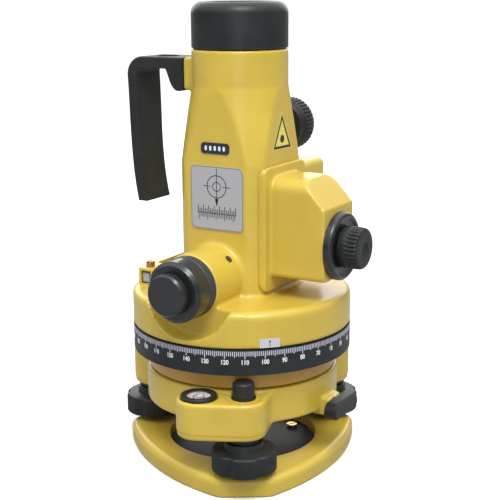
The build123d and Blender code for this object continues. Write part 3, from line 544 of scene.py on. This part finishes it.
level_centre = (*LEVEL_AT, 0)
silvered = speckled(
    "silvered dial", (0.72, 0.73, 0.74), (0.90, 0.90, 0.90), 0.4, 2600.0, 0.3, detail=2.0)
spirit_glass = clear_glass("spirit glass", (0.95, 0.96, 0.92), 0.02, 1.2)
dial = turned_piece(
    "level_dial",
    [(0, DIAL_Z - 3.4), (DIAL_R, DIAL_Z - 3.4), (DIAL_R, DIAL_Z - 0.1), (DIAL_R - 0.1, DIAL_Z),
     (0, DIAL_Z)],
    64, UP_AXES, level_centre, silvered,
)
ring_mark = turned_piece(
    "level_ring_mark",
    [(2.95, DIAL_Z + 0.01), (3.35, DIAL_Z + 0.01), (3.35, DIAL_Z + 0.12), (2.95, DIAL_Z + 0.12)],
    64, UP_AXES, level_centre, black_lacquer,
)
bubble_side = [
    (BUBBLE_R * cos(t), GLASS_Z - 1.35 + BUBBLE_HIGH * sin(t)) for t in np.linspace(-1.3, 1.3, 11)
]
bubble = turned_piece(
    "level_bubble", [(0, GLASS_Z - 1.9)] + bubble_side + [(0, GLASS_Z - 0.8)],
    48, UP_AXES, (LEVEL_AT[0] + 0.5, LEVEL_AT[1] + 0.3, 0), silvered, 60.0,
)
dome = [
    (GLASS_R * cos(t), GLASS_Z - 0.6 + 0.6 * sin(t)) for t in np.linspace(0, pi / 2 - 0.05, 12)
]
level_glass = turned_piece(
    "level_glass",
    [(0, DIAL_Z + 0.15), (GLASS_R, DIAL_Z + 0.15)] + dome + [(0, GLASS_Z)],
    64, UP_AXES, level_centre, spirit_glass, 40.0,
)
level_bezel = turned_piece(
    "level_bezel",
    [(GLASS_R + 0.05, GLASS_Z - 1.2), (BEZEL_R, GLASS_Z - 1.2), (BEZEL_R, GLASS_Z + 0.25),
     (7.4, GLASS_Z + 0.3), (6.95, GLASS_Z + 0.1), (GLASS_R + 0.05, GLASS_Z - 0.3)],
    64, UP_AXES, level_centre, sleeve_black,
)
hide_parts("circular_level_vial")
for piece in (dial, ring_mark, bubble, level_glass, level_bezel):
    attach(piece, "tribrach")
dress(sleeve_black, "circular_level_case")

# ------------------------------------------------------------------ clamp
# A black bar on a steel shaft presses a brass shoe on the centring spigot and so
# clamps the instrument in the tribrach.
dress(knob_black, "lock_lever")
dress(ground_steel, "lock_shaft")
dress(turned_brass, "lock_shoe")

# ------------------------------------------------------------------ centring flange and spindle
# The flange and its spigot are turned in one and enamelled. Their enamel is darker and more
# orange than the rest as painted shade under the overhanging circle. The ground steel spindle
# stands in it, hollow for the downward beam, with a window at its foot.
# Darker, more orange tones: painted shade under the overhanging graduated circle.
shaded_flange_enamel = enamel(
    "flange enamel with painted shade", (0.50, 0.27, 0.035), (0.60, 0.345, 0.05), roughness=0.36, streaks=0.9)
optical_glass = clear_glass("optical glass", (0.90, 0.95, 0.93), 0.0, 1.5)
dress(shaded_flange_enamel, "centring_flange")
dress(ground_steel, "vertical_spindle")
dress(optical_glass, "plummet_window")

# ------------------------------------------------------------------ graduated circle
# The circle turns by hand round the flange: black anodised aluminium, with white
# filled graduations every degree and a figure at every ten.
RING_R = 65.0
RING_TOP = 84.0
ZERO_ANGLE = 52.75
TICK_WIDE = 0.46
TICK_LONGS = {10: 4.3, 5: 3.4, 1: 2.7}
TICK_START = 0.7
PROUD = 0.03
FIGURE_HIGH = 2.55
FIGURE_NARROW = 0.8
FIGURE_Z = 75.8


def round_ring(flat):
    """Lay flat points (along, up, out) on the circle's wall: along is arc length, out is radial."""
    turn = flat[:, 0] / RING_R
    radius = RING_R + flat[:, 2]
    return np.stack([radius * np.cos(turn), radius * np.sin(turn), flat[:, 1]], axis=1)


def graduation_boxes():
    """One thin raised block for each degree, longer at five and at ten degrees."""
    values = np.arange(0, 360, 1.0)
    fives = np.where(values % 5 == 0, TICK_LONGS[5], TICK_LONGS[1])
    longs = np.where(values % 10 == 0, TICK_LONGS[10], fives)
    along = np.radians(ZERO_ANGLE - values) * RING_R
    half = np.full(len(values), TICK_WIDE / 2)
    top = RING_TOP - TICK_START
    corners = []
    for out in (-0.05, PROUD):
        for side, low in ((-1, 1), (1, 1), (1, 0), (-1, 0)):
            place = [along + side * half, top - low * longs, np.full(len(values), out)]
            corners.append(np.stack(place, axis=1))
    points = np.stack(corners, axis=1).reshape(-1, 3)
    shape = np.array([[4, 5, 6, 7], [3, 2, 1, 0], [0, 1, 5, 4],
                      [1, 2, 6, 5], [2, 3, 7, 6], [3, 0, 4, 7]])
    faces = (np.arange(len(values))[:, None, None] * 8 + shape).reshape(-1, 4)
    return round_ring(points), faces


def figure_mesh(text, height, narrow):
    """A figure as flat points and faces, centred on nothing along, its foot at nothing up."""
    curve = bpy.data.curves.new("figure", "FONT")
    curve.body = text
    curve.align_x = "CENTER"
    curve.size = height / 0.7
    curve.space_character = 1.05
    curve.offset = 0.05 * height
    curve.extrude = 0.03
    holder = bpy.data.objects.new("figure", curve)
    bpy.context.scene.collection.objects.link(holder)
    bpy.context.view_layer.update()
    made = holder.evaluated_get(bpy.context.evaluated_depsgraph_get())
    data = bpy.data.meshes.new_from_object(made)
    points = vertex_array(data, unit=1.0) * (narrow, 1, 1)
    faces = [tuple(polygon.vertices) for polygon in data.polygons]
    bpy.data.objects.remove(holder)
    bpy.data.meshes.remove(data)
    return points, faces


def figured_ring():
    """The thirty-six figures of the circle, each on the wall under its long graduation."""
    all_points, all_faces, used = [], [], 0
    for value in range(0, 360, 10):
        points, faces = figure_mesh(str(value), FIGURE_HIGH, FIGURE_NARROW)
        points += (radians(ZERO_ANGLE - value) * RING_R, FIGURE_Z, 0)
        all_points.append(points)
        all_faces += [tuple(corner + used for corner in face) for face in faces]
        used += len(points)
    return round_ring(np.concatenate(all_points)), all_faces


CIRCLE_DARK, CIRCLE_LIGHT = (0.010, 0.0135, 0.0145), (0.022, 0.028, 0.030)
circle_black = moulding("circle black", CIRCLE_DARK, CIRCLE_LIGHT, 0.36, 2600.0, 0.12)
white_fill = speckled("white filling", (0.74, 0.75, 0.80), (0.88, 0.89, 0.94), 0.5)
tick_fill = speckled("graduation filling", (0.58, 0.59, 0.74), (0.72, 0.73, 0.88), 0.5)
dress(circle_black, "circle_ring")
graduations = make_piece("graduations", *graduation_boxes(), tick_fill)
figures = make_piece("circle_figures", *figured_ring(), white_fill)
for piece in (graduations, figures):
    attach(piece, "circle")

# ------------------------------------------------------------------ upper housing
# The sighting column, the drum and the eyepiece boss are one aluminium casting, in
# the same enamel. The drum floor, bearing and beam tube close it from below.
DRUM_FOOT_Z, NECK_TOP_Z = 88, 236
HANDLE_PAD_X = -30
BOSS_Z, BOSS_END_Y = 116, -54.5
GRUB_AT = (12.6, -35, 128.6)
bored_bronze = machined("bored bronze", (0.30, 0.18, 0.08), (0.50, 0.33, 0.16), 0.3)
bare_alloy = machined("bare alloy", (0.46, 0.46, 0.46), (0.62, 0.62, 0.62), 0.3)


def housing_softness(points):
    """Full blending on the scoop, boss and column, fading to none where parts are seated.

    It fades over a few millimetres towards the drum's foot, the neck's top, the handle
    pad, the boss's end and the hole of the small screw.
    """
    across, along, height = points.T
    soft = np.clip((height - DRUM_FOOT_Z) / 4, 0, 1) * np.clip((NECK_TOP_Z - height) / 6, 0, 1)
    soft = soft * np.clip((across - HANDLE_PAD_X) / 2, 0, 1)
    soft = soft * (1 - np.clip(3 * near(points, GRUB_AT, 4.5), 0, 1))
    boss_end = np.clip((along - BOSS_END_Y) / 2, 0, 1)
    return soft * np.where(np.abs(height - BOSS_Z) < 20, boss_end, 1)


housing_skin = soft_casting(
    "housing_casting", "main_housing", voxel=1.15, crisp_passes=2, soft_passes=6,
    soft_share=housing_softness, material=body_enamel,
)
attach(housing_skin, "alidade")
dress(bare_alloy, "drum_floor")
dress(bored_bronze, "spindle_bearing")
dress(turned_brass, "plummet_laser")

# ------------------------------------------------------------------ sighting telescope
# Blackened barrel and cell, with ground lenses. A brass rack on the cell runs on
# the steel pinion of the focusing knob.
dress(sleeve_black, "objective_barrel", "focusing_cell", "prism_holder", "eyepiece_tube")
dress(optical_glass, "objective_lens", "focusing_lens", "prisms", "reticle", "eyepiece_lens")
dress(turned_brass, "focusing_rack")
dress(ground_steel, "focusing_pinion")

# ------------------------------------------------------------------ eyepiece
# A dark slate ring seats the eyepiece on its boss, locked by a small screw in a hole in the
# boss. A dark brown disc over its socket is painted shade for the hollow. The ring in front
# focuses the cross-hair; a cap covers the end.
PRINT_DEEP = 0.04
BOSS_R = 18.3
SOCKET_TURN = 45
SOCKET_R, SOCKET_OUT = 2.2, 0.12


def circle_outline(across, up, radius, steps=48):
    """A closed round outline, anticlockwise."""
    turn = np.arange(steps) * 2 * pi / steps
    return np.stack([across + radius * np.cos(turn), up + radius * np.sin(turn)], axis=1)


def printed(name, solids, bands, lay, material, body="alidade"):
    """Thin raised print: each solid is one outline, each band an outline round an inner one.

    lay turns flat points (across, up, out) into places on the instrument.
    """
    points, faces, used = [], [], 0
    for outline in solids:
        count = len(outline)
        index = np.arange(count)
        for out in (-PRINT_DEEP, PRINT_DEEP):
            points.append(np.column_stack([outline, np.full(count, out)]))
        beside = np.roll(index, -1)
        faces += [(used + count + index).tolist(), (used + index[::-1]).tolist()]
        sides = np.stack([index, beside, beside + count, index + count], axis=1)
        faces += (used + sides).tolist()
        used += 2 * count
    for outer, inner in bands:
        count = len(outer)
        high, low = np.full(count, PRINT_DEEP), np.full(count, -PRINT_DEEP)
        loop = ((outer, high), (inner, high), (inner, low), (outer, low))
        points += [np.column_stack(pair) for pair in loop]
        faces += (used + grid_faces(4, count, True)[:, ::-1]).tolist()
        used += 4 * count
    piece = make_piece(name, lay(np.concatenate(points)), faces, material)
    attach(piece, body)
    return piece


def on_boss(flat):
    """Flat points wrapped on the top right of the eyepiece boss, along its axis."""
    turn = radians(SOCKET_TURN) - flat[:, 1] / BOSS_R
    radius = BOSS_R + SOCKET_OUT + flat[:, 2]
    across, height = radius * np.cos(turn), BOSS_Z + radius * np.sin(turn)
    return np.stack([across, GRUB_AT[1] + flat[:, 0], height], axis=1)


SLATE_DARK, SLATE_LIGHT = (0.030, 0.033, 0.040), (0.052, 0.056, 0.066)
EYEPIECE_DARK, EYEPIECE_LIGHT = (0.008, 0.010, 0.0115), (0.017, 0.020, 0.023)
slate_ring = moulding("slate anodising", SLATE_DARK, SLATE_LIGHT, 0.38, 2600.0, 0.15)
eyepiece_black = moulding(
    "eyepiece black", EYEPIECE_DARK, EYEPIECE_LIGHT, 0.24, 2400.0, 0.12, coat=0.6)
socket_shade_paint = speckled("socket painted shade", (0.030, 0.018, 0.022), (0.055, 0.034, 0.040), 0.35)
dress(slate_ring, "eyepiece_base_ring")
dress(eyepiece_black, "diopter_ring", "eyepiece_cap")
dress(ground_steel, "eyepiece_grub_screw")
# A dark brown disc over the screw's socket: painted shade of the hollow.
socket_shade_outline = circle_outline(0, 0, SOCKET_R, 32)[::-1]
printed("grub_socket_shade", [socket_shade_outline], [], on_boss, socket_shade_paint)

# ------------------------------------------------------------------ laser housing
# An enamelled box on the right face holds the laser and its board. A black round plate
# with a rolled rim closes it and carries the power knob, fluted round its outer end.
LASER_Z = 135.5
LASER_SEAT_X = 63.5
POWER_FLUTES = 30
FLUTE_STEPS = 10
RIGHT_AXES = ((0, 1, 0), (0, 0, 1), (1, 0, 0))
board_green = speckled("board green", (0.010, 0.085, 0.040), (0.020, 0.13, 0.06), 0.35, 500.0, 0.2)


def fluted_rows(profile, flutes, steps, depth):
    """Rings from (radius, height, share), where share of a round flute's depth is cut away."""
    columns = flutes * steps
    turn = np.arange(columns) * 2 * pi / columns
    flute = depth * (0.5 + 0.5 * np.cos(flutes * turn)) ** 2
    radii = np.array([np.full(columns, radius) - share * flute for radius, _, share in profile])
    return radii, [height for _, height, _ in profile]


power_profile = [
    (0, 54, 0), (3, 54, 0), (3, 68.6, 0), (11.2, 68.6, 0), (11.8, 69.0, 0), (12, 69.8, 0),
    (12, 73.0, 0), (12, 73.8, 0.3), (12, 74.8, 0.8), (12, 75.8, 1), (11.9, 79.0, 1),
    (11.7, 79.8, 0.8), (11.3, 80.4, 0.45), (10.7, 80.7, 0.15), (10.0, 80.8, 0), (4.3, 80.8, 0),
    (3.9, 80.7, 0), (3.4, 80.2, 0), (2.4, 79.8, 0), (0, 79.6, 0),
]
radii, heights = fluted_rows(power_profile, POWER_FLUTES, FLUTE_STEPS, 0.8)
points, faces = turned_solid(radii, heights, RIGHT_AXES, (0, 0, LASER_Z))
power_grip = make_piece("power_grip", points, faces, knob_black)
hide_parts("power_knob")
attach(power_grip, "power_knob")
laser_skin = soft_casting(
    "laser_box_casting", "laser_housing", voxel=0.75, crisp_passes=2, soft_passes=5,
    soft_share=lambda points: 1.0 * (points[:, 0] < LASER_SEAT_X), material=body_enamel,
)
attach(laser_skin, "alidade")
PLATE_BORE, PLATE_LOW, PLATE_FACE = 3.05, 64.3, 68.25
RIM_CREST_R, RIM_CREST = 17.2, 69.35
rim = [(RIM_CREST_R + 2.3 * cos(t), 67.0 + 2.35 * sin(t)) for t in np.linspace(0, pi / 2, 10)]
roll = [
    (RIM_CREST_R - 1.6 * sin(t), RIM_CREST - 1.0 + cos(t)) for t in np.linspace(0.2, pi / 2, 7)
]
plate_profile = [(PLATE_BORE, PLATE_LOW), (19.3, PLATE_LOW), (19.5, PLATE_LOW + 0.2)] + rim + roll
plate_profile += [(15.2, PLATE_FACE), (PLATE_BORE, PLATE_FACE)]
plate_disc = turned_piece(
    "laser_rim", plate_profile, 120, RIGHT_AXES, (0, 0, LASER_Z), eyepiece_black)
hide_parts("laser_plate")
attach(plate_disc, "alidade")
dress(turned_brass, "laser_module")
dress(board_green, "circuit_board")

# ------------------------------------------------------------------ battery housing
# The battery box on the back is enamelled; three cells stand in it behind a cover
# held by one milled screw.
cell_sleeve = speckled(
    "cell sleeve", (0.05, 0.055, 0.07), (0.09, 0.10, 0.12), 0.3, 400.0, 0.05, coat=0.4)
dress(body_enamel, "battery_housing", "battery_cover")
dress(cell_sleeve, "battery_cells")
dress(ground_steel, "cover_screw")

# ------------------------------------------------------------------ plate level
# A tubular level in an enamelled bracket on the deck. The front end of the bracket has
# a small pane inside a dark band, painted shade of the window's recess, and a slotted
# brass screw adjusts the tube.
LEVEL_X = -47.2
WINDOW_Z = 110.0
SHADE_BAND_Y, PANE_Y = -32.0, -31.2


def rounded_box(across, up, wide, high, radius, steps=8):
    """A closed outline with round corners, anticlockwise from its lower right corner."""
    quarter = np.arange(4 * steps) // steps
    turn = quarter * pi / 2 - pi / 2 + np.tile(np.linspace(0, pi / 2, steps), 4)
    x = across + np.array([1, 1, -1, -1])[quarter] * (wide / 2 - radius) + radius * np.cos(turn)
    y = up + np.array([-1, 1, 1, -1])[quarter] * (high / 2 - radius) + radius * np.sin(turn)
    return np.stack([x, y], axis=1)


def facing_front(plane):
    """A lay for printed: flat points on the upright plane at this depth, seen from the front."""
    return lambda flat: np.stack([flat[:, 0], plane - flat[:, 2], flat[:, 1]], axis=1)


ink = speckled("plate ink", (0.018, 0.020, 0.022), (0.035, 0.038, 0.042), 0.45)
plate_silver = speckled("etched silver", (0.38, 0.39, 0.41), (0.46, 0.46, 0.49), 0.36, 2400.0, 0.1)
dress(body_enamel, "plate_level_case")
dress(spirit_glass, "plate_level_vial")
dress(turned_brass, "plate_level_screw")
# The dark band round the pane is painted shade of the window's recess, printed in ink.
shade_band_outer = rounded_box(LEVEL_X, WINDOW_Z, 6.6, 7.6, 0.3)
shade_band_inner = rounded_box(LEVEL_X, WINDOW_Z, 5.0, 5.8, 0.2)
pane = rounded_box(LEVEL_X, WINDOW_Z - 0.3, 4.9, 5.6, 0.2)
printed("level_window_shade", [], [(shade_band_outer, shade_band_inner)], facing_front(SHADE_BAND_Y), ink)
printed("level_pane", [pane], [], facing_front(PANE_Y), plate_silver)

# ------------------------------------------------------------------ top cap
# A push-on cap keeps dust off the objective: black moulded, with a soft shoulder and
# a shallow dish inside its rim.
CAP_R = 27.8
CAP_LOW, CAP_TOP = 244.7, 270.5
CAP_BORE, CAP_CEILING = 24.06, 265.2
CAP_ROUND = 6.5
cap_inside = [
    (0, CAP_CEILING), (CAP_BORE - 0.6, CAP_CEILING), (CAP_BORE, CAP_CEILING - 0.6),
    (CAP_BORE, CAP_LOW + 0.5), (CAP_BORE + 0.4, CAP_LOW), (CAP_R - 0.4, CAP_LOW),
    (CAP_R, CAP_LOW + 0.4),
]
shoulder = [
    (CAP_R - CAP_ROUND + CAP_ROUND * cos(t), CAP_TOP - CAP_ROUND + CAP_ROUND * sin(t))
    for t in np.linspace(0, pi / 2, 18)
]
cap_dish = [
    (20.2, CAP_TOP - 0.05), (19.6, CAP_TOP - 0.3), (19.0, CAP_TOP - 0.7), (18.2, CAP_TOP - 0.85),
    (10, CAP_TOP - 0.9), (0, CAP_TOP - 0.9),
]
CAP_DARK, CAP_LIGHT = (0.014, 0.0175, 0.018), (0.026, 0.031, 0.032)
cap_black = moulding("cap black", CAP_DARK, CAP_LIGHT, 0.3, 1500.0, 0.2)
top_cover = turned_piece(
    "top_cover", cap_inside + shoulder + cap_dish, 144, UP_AXES, (0, 0, 0), cap_black, 35.0)
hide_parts("top_cap")
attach(top_cover, "top_cap")

# ------------------------------------------------------------------ focusing knob
# The focusing knob on the back is moulded black with coarse straight ribs, on a
# smooth narrower skirt.
FOCUS_AT = (10.0, 0.0, 197.5)
FOCUS_RIBS = 40
BACK_AXES = ((0, 0, 1), (1, 0, 0), (0, 1, 0))
focus_profile = [
    (0, 41.7, 0), (3, 41.7, 0), (3, 29.9, 0), (13.2, 29.9, 0), (13.7, 30.3, 0), (13.8, 30.9, 0),
    (13.9, 32.4, 0), (14.4, 33.6, 0), (15.1, 34.4, 0), (15.5, 34.9, 0.3), (15.7, 35.6, 1),
    (15.7, 42.6, 1), (15.6, 43.2, 0.8), (15.2, 43.9, 0.3), (14.4, 44.3, 0), (10.4, 44.3, 0),
    (9.9, 44.1, 0), (9.6, 43.7, 0), (0, 43.6, 0),
]
radii, heights = fluted_rows(focus_profile, FOCUS_RIBS, FLUTE_STEPS, 0.85)
points, faces = turned_solid(radii, heights, BACK_AXES, FOCUS_AT)
focus_grip = make_piece("focusing_grip", points, faces, knob_black)
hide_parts("focusing_knob")
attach(focus_grip, "focusing_knob")

# ------------------------------------------------------------------ carrying handle
# One black moulding bolted to a pad on the left of the neck.
HANDLE_DARK, HANDLE_LIGHT = (0.013, 0.016, 0.017), (0.026, 0.029, 0.029)
handle_black = moulding("handle black", HANDLE_DARK, HANDLE_LIGHT, 0.42, 1100.0, 0.4)
dress(handle_black, "handle")
dress(ground_steel, "handle_screws")

# ------------------------------------------------------------------ plates
# An etched silver plate on the front carries a plumbing sign and a vernier, with a dark
# blue plate above it. A white index plate over the circle and a sticker are glued on.
FRONT_Y = -28.4
SIGN_AT = (1.15, 168.2)
SIGN_PLATE_AT = (1.15, 161.4)
VERNIER_Z = 152.6
LINE = 0.45
DOTS_Z = 190
INDEX_ANGLE = -45.0
INDEX_R = RING_R + 0.4
STICKER_X = 27.92
STICKER_CORNERS = [(-10.8, 188.3), (10.6, 187.8), (-0.4, 208.6)]


def bar(across, up, wide, high):
    """A closed rectangular outline, anticlockwise."""
    return np.array([(-1, -1), (1, -1), (1, 1), (-1, 1)]) * (wide / 2, high / 2) + (across, up)


def vernier_bars(spread, wide, shorter, longer, every):
    """Upright bars across the vernier's line, every so many of them longer; both (up, high)."""
    places = np.linspace(-12.6, 12.6, 22) * spread
    sizes = [shorter if number % every else longer for number in range(len(places))]
    return [bar(SIGN_AT[0] + x, up, wide, high) for x, (up, high) in zip(places, sizes)]


def on_right(flat):
    """Flat points on the column's right face, seen from the right."""
    return np.stack([STICKER_X + flat[:, 2], flat[:, 0], flat[:, 1]], axis=1)


def under_print(flat):
    """Flat points on the right face, half a print's thickness deeper."""
    return on_right(flat) - (PRINT_DEEP / 2, 0, 0)


def on_index(flat):
    """Flat points wrapped on the index plate, along its arc."""
    turn = radians(INDEX_ANGLE) + flat[:, 0] / INDEX_R
    radius = INDEX_R + flat[:, 2]
    return np.stack([radius * np.cos(turn), radius * np.sin(turn), flat[:, 1]], axis=1)


plate_blue = speckled(
    "dark blue plate", (0.014, 0.019, 0.034), (0.024, 0.031, 0.052), 0.32, 2400.0, 0.1)
index_white = speckled("index white", (0.52, 0.52, 0.58), (0.62, 0.62, 0.67), 0.35, 2400.0, 0.05)
sticker_yellow = speckled("sticker yellow", (0.76, 0.66, 0.13), (0.84, 0.74, 0.18), 0.4)
dress(plate_silver, "label_plate")
dress(plate_blue, "serial_plate")
dress(index_white, "index_plate")

sign_x, sign_z = SIGN_AT
plumb_bob = np.array([(-1.5, 5.4), (0, -0.6), (1.5, 5.4)]) * 0.8 + (sign_x, 157.0)
sign_solids = [
    bar(sign_x, sign_z, LINE, 21.0), bar(sign_x - 6.6, sign_z, 4.6, LINE),
    bar(sign_x + 6.6, sign_z, 4.6, LINE), plumb_bob, bar(sign_x, VERNIER_Z, 26.0, LINE),
]
sign_solids += vernier_bars(1.0, 0.5, (154.0, 2.4), (154.9, 4.2), 3)
sign_solids += vernier_bars(0.95, 0.4, (151.2, 2.2), (150.6, 3.4), 5)
sign_bands = [
    (rounded_box(*SIGN_PLATE_AT, 34.3, 36.0, 2.7), rounded_box(*SIGN_PLATE_AT, 33.9, 35.6, 2.5)),
    (circle_outline(*SIGN_AT, 6.6), circle_outline(*SIGN_AT, 6.1)),
    (circle_outline(*SIGN_AT, 2.8), circle_outline(*SIGN_AT, 2.35)),
]
printed("plate_sign", sign_solids, sign_bands, facing_front(FRONT_Y), ink)
serial_dots = [rounded_box(0.3 + x, DOTS_Z, 1.5, 2.7, 0.7) for x in (-6, -3, 0, 3, 6)]
printed("serial_dots", serial_dots, [], facing_front(FRONT_Y), white_fill)

index_arrow = np.array([(-0.75, 88.3), (0.75, 88.3), (0.0, 89.5)])
printed("index_mark", [bar(0, 87.3, 0.34, 3.7), index_arrow], [], on_index, ink)

triangle = np.array(STICKER_CORNERS)
middle = triangle.mean(axis=0)
shares = np.linspace(0, 1, 9)[:-1, None]
sides = [triangle[n] + (triangle[(n + 1) % 3] - triangle[n]) * shares for n in range(3)]
reach = np.concatenate(sides) - middle
sticker_border = [(middle + reach * 0.94, middle + reach * 0.72)]
sticker_dot = circle_outline(middle[0], middle[1] - 1.0, 2.3)
printed("sticker_field", [middle + reach], [], under_print, sticker_yellow)
printed("sticker_border", [sticker_dot], sticker_border, on_right, ink)

# ------------------------------------------------------------------ studio
# A plain pale floor under three soft boxes, with the camera a little above the
# instrument and some way off its front right corner.
FLOOR_HALF = 6.0
floor_data = bpy.data.meshes.new("studio_floor")
floor_data.from_pydata(
    [(-FLOOR_HALF, -FLOOR_HALF, 0), (FLOOR_HALF, -FLOOR_HALF, 0), (FLOOR_HALF, FLOOR_HALF, 0),
     (-FLOOR_HALF, FLOOR_HALF, 0)], [], [(0, 1, 2, 3)])
floor = bpy.data.objects.new("studio_floor", floor_data)
bpy.context.scene.collection.objects.link(floor)
floor_paint, tree, shader = new_material("floor paint")
place = tree.nodes.new("ShaderNodeTexCoord").outputs["Object"]
mottle = add_noise(tree, place, 2.0, 2.0)
pale = tone_ramp(tree, mottle.outputs["Fac"], (0.93, 0.93, 0.93), (0.96, 0.96, 0.96), 0.3, 0.7)
# Pale to the eye, but a quieter grey to the light that it throws back on the enamel.
FLOOR_BOUNCE = (0.30, 0.30, 0.30, 1)
COLOUR_A, COLOUR_B, COLOUR_OUT = 6, 7, 2
seen = tree.nodes.new("ShaderNodeLightPath").outputs["Is Camera Ray"]
quiet = tree.nodes.new("ShaderNodeMix")
quiet.data_type = "RGBA"
tree.links.new(seen, quiet.inputs["Factor"])
quiet.inputs[COLOUR_A].default_value = FLOOR_BOUNCE
tree.links.new(pale, quiet.inputs[COLOUR_B])
tree.links.new(quiet.outputs[COLOUR_OUT], shader.inputs["Base Color"])
shader.inputs["Roughness"].default_value = 0.7
floor_data.materials.append(floor_paint)

bpy.context.scene.view_settings.view_transform = "Standard"
# The sky is dim at the horizon and bright overhead, and plain white where it is seen.
SKY_LOW, SKY_HIGH = 0.12, 1.55
world = bpy.data.worlds.new("studio")
world.use_nodes = True
sky = world.node_tree
direction = sky.nodes.new("ShaderNodeTexCoord").outputs["Generated"]
split = sky.nodes.new("ShaderNodeSeparateXYZ")
sky.links.new(direction, split.inputs[0])
rise = sky.nodes.new("ShaderNodeMapRange")
rise.interpolation_type = "SMOOTHSTEP"
rise.inputs["From Min"].default_value = 0.0
rise.inputs["From Max"].default_value = 0.9
rise.inputs["To Min"].default_value = SKY_LOW
rise.inputs["To Max"].default_value = SKY_HIGH
sky.links.new(split.outputs["Z"], rise.inputs["Value"])
seen = sky.nodes.new("ShaderNodeLightPath").outputs["Is Camera Ray"]
plain = sky.nodes.new("ShaderNodeMix")
sky.links.new(seen, plain.inputs["Factor"])
sky.links.new(rise.outputs["Result"], plain.inputs[2])
plain.inputs[3].default_value = 1.0
sky.links.new(plain.outputs[0], sky.nodes["Background"].inputs["Strength"])
sky.nodes["Background"].inputs["Color"].default_value = (1.0, 1.0, 1.0, 1)
bpy.context.scene.world = world


def soft_box(name, place, target, width, height, power):
    """An area light at place, its face turned to target."""
    data = bpy.data.lights.new(name, "AREA")
    data.shape = "RECTANGLE"
    data.size, data.size_y = width, height
    data.energy = power
    lamp = bpy.data.objects.new(name, data)
    lamp.location = place
    lamp.rotation_euler = (Vector(target) - Vector(place)).to_track_quat("-Z", "Y").to_euler()
    lamp.visible_camera = False
    bpy.context.scene.collection.objects.link(lamp)


MIDDLE = (0, 0, 0.14)
soft_box("key box", (0.62, -0.76, 1.65), MIDDLE, 0.8, 0.8, 21.0)
soft_box("back sweep", (-0.80, 1.30, 0.62), MIDDLE, 2.2, 0.7, 9.0)
soft_box("front box", (0.6, -1.1, 0.35), MIDDLE, 0.5, 0.6, 1.0)

SWING, TURN, TILT, LEAN = radians(31.5), radians(0.43), radians(13.24), radians(-0.35)
STAND_OFF, EYE_LEVEL = 0.6772, 0.2848
FOCAL_SHARE = 1168 / 500
across = Vector((cos(SWING), sin(SWING), 0))
ahead = Vector((-sin(SWING), cos(SWING), 0))
above = Vector((0, 0, 1))
side = across * cos(TURN) - ahead * sin(TURN)
level_ahead = across * sin(TURN) + ahead * cos(TURN)
look = level_ahead * cos(TILT) - above * sin(TILT)
raised = level_ahead * sin(TILT) + above * cos(TILT)
camera_x = side * cos(LEAN) + raised * sin(LEAN)
camera_y = raised * cos(LEAN) - side * sin(LEAN)
camera_data = bpy.data.cameras.new("camera")
camera_data.sensor_width = 36
camera_data.lens = 36 * FOCAL_SHARE
camera_data.clip_start = 0.01
camera = bpy.data.objects.new("camera", camera_data)
turned = Matrix((camera_x, camera_y, -look)).transposed()
camera.matrix_world = Matrix.Translation(ahead * -STAND_OFF + above * EYE_LEVEL) @ turned.to_4x4()
bpy.context.scene.collection.objects.link(camera)
bpy.context.scene.camera = camera
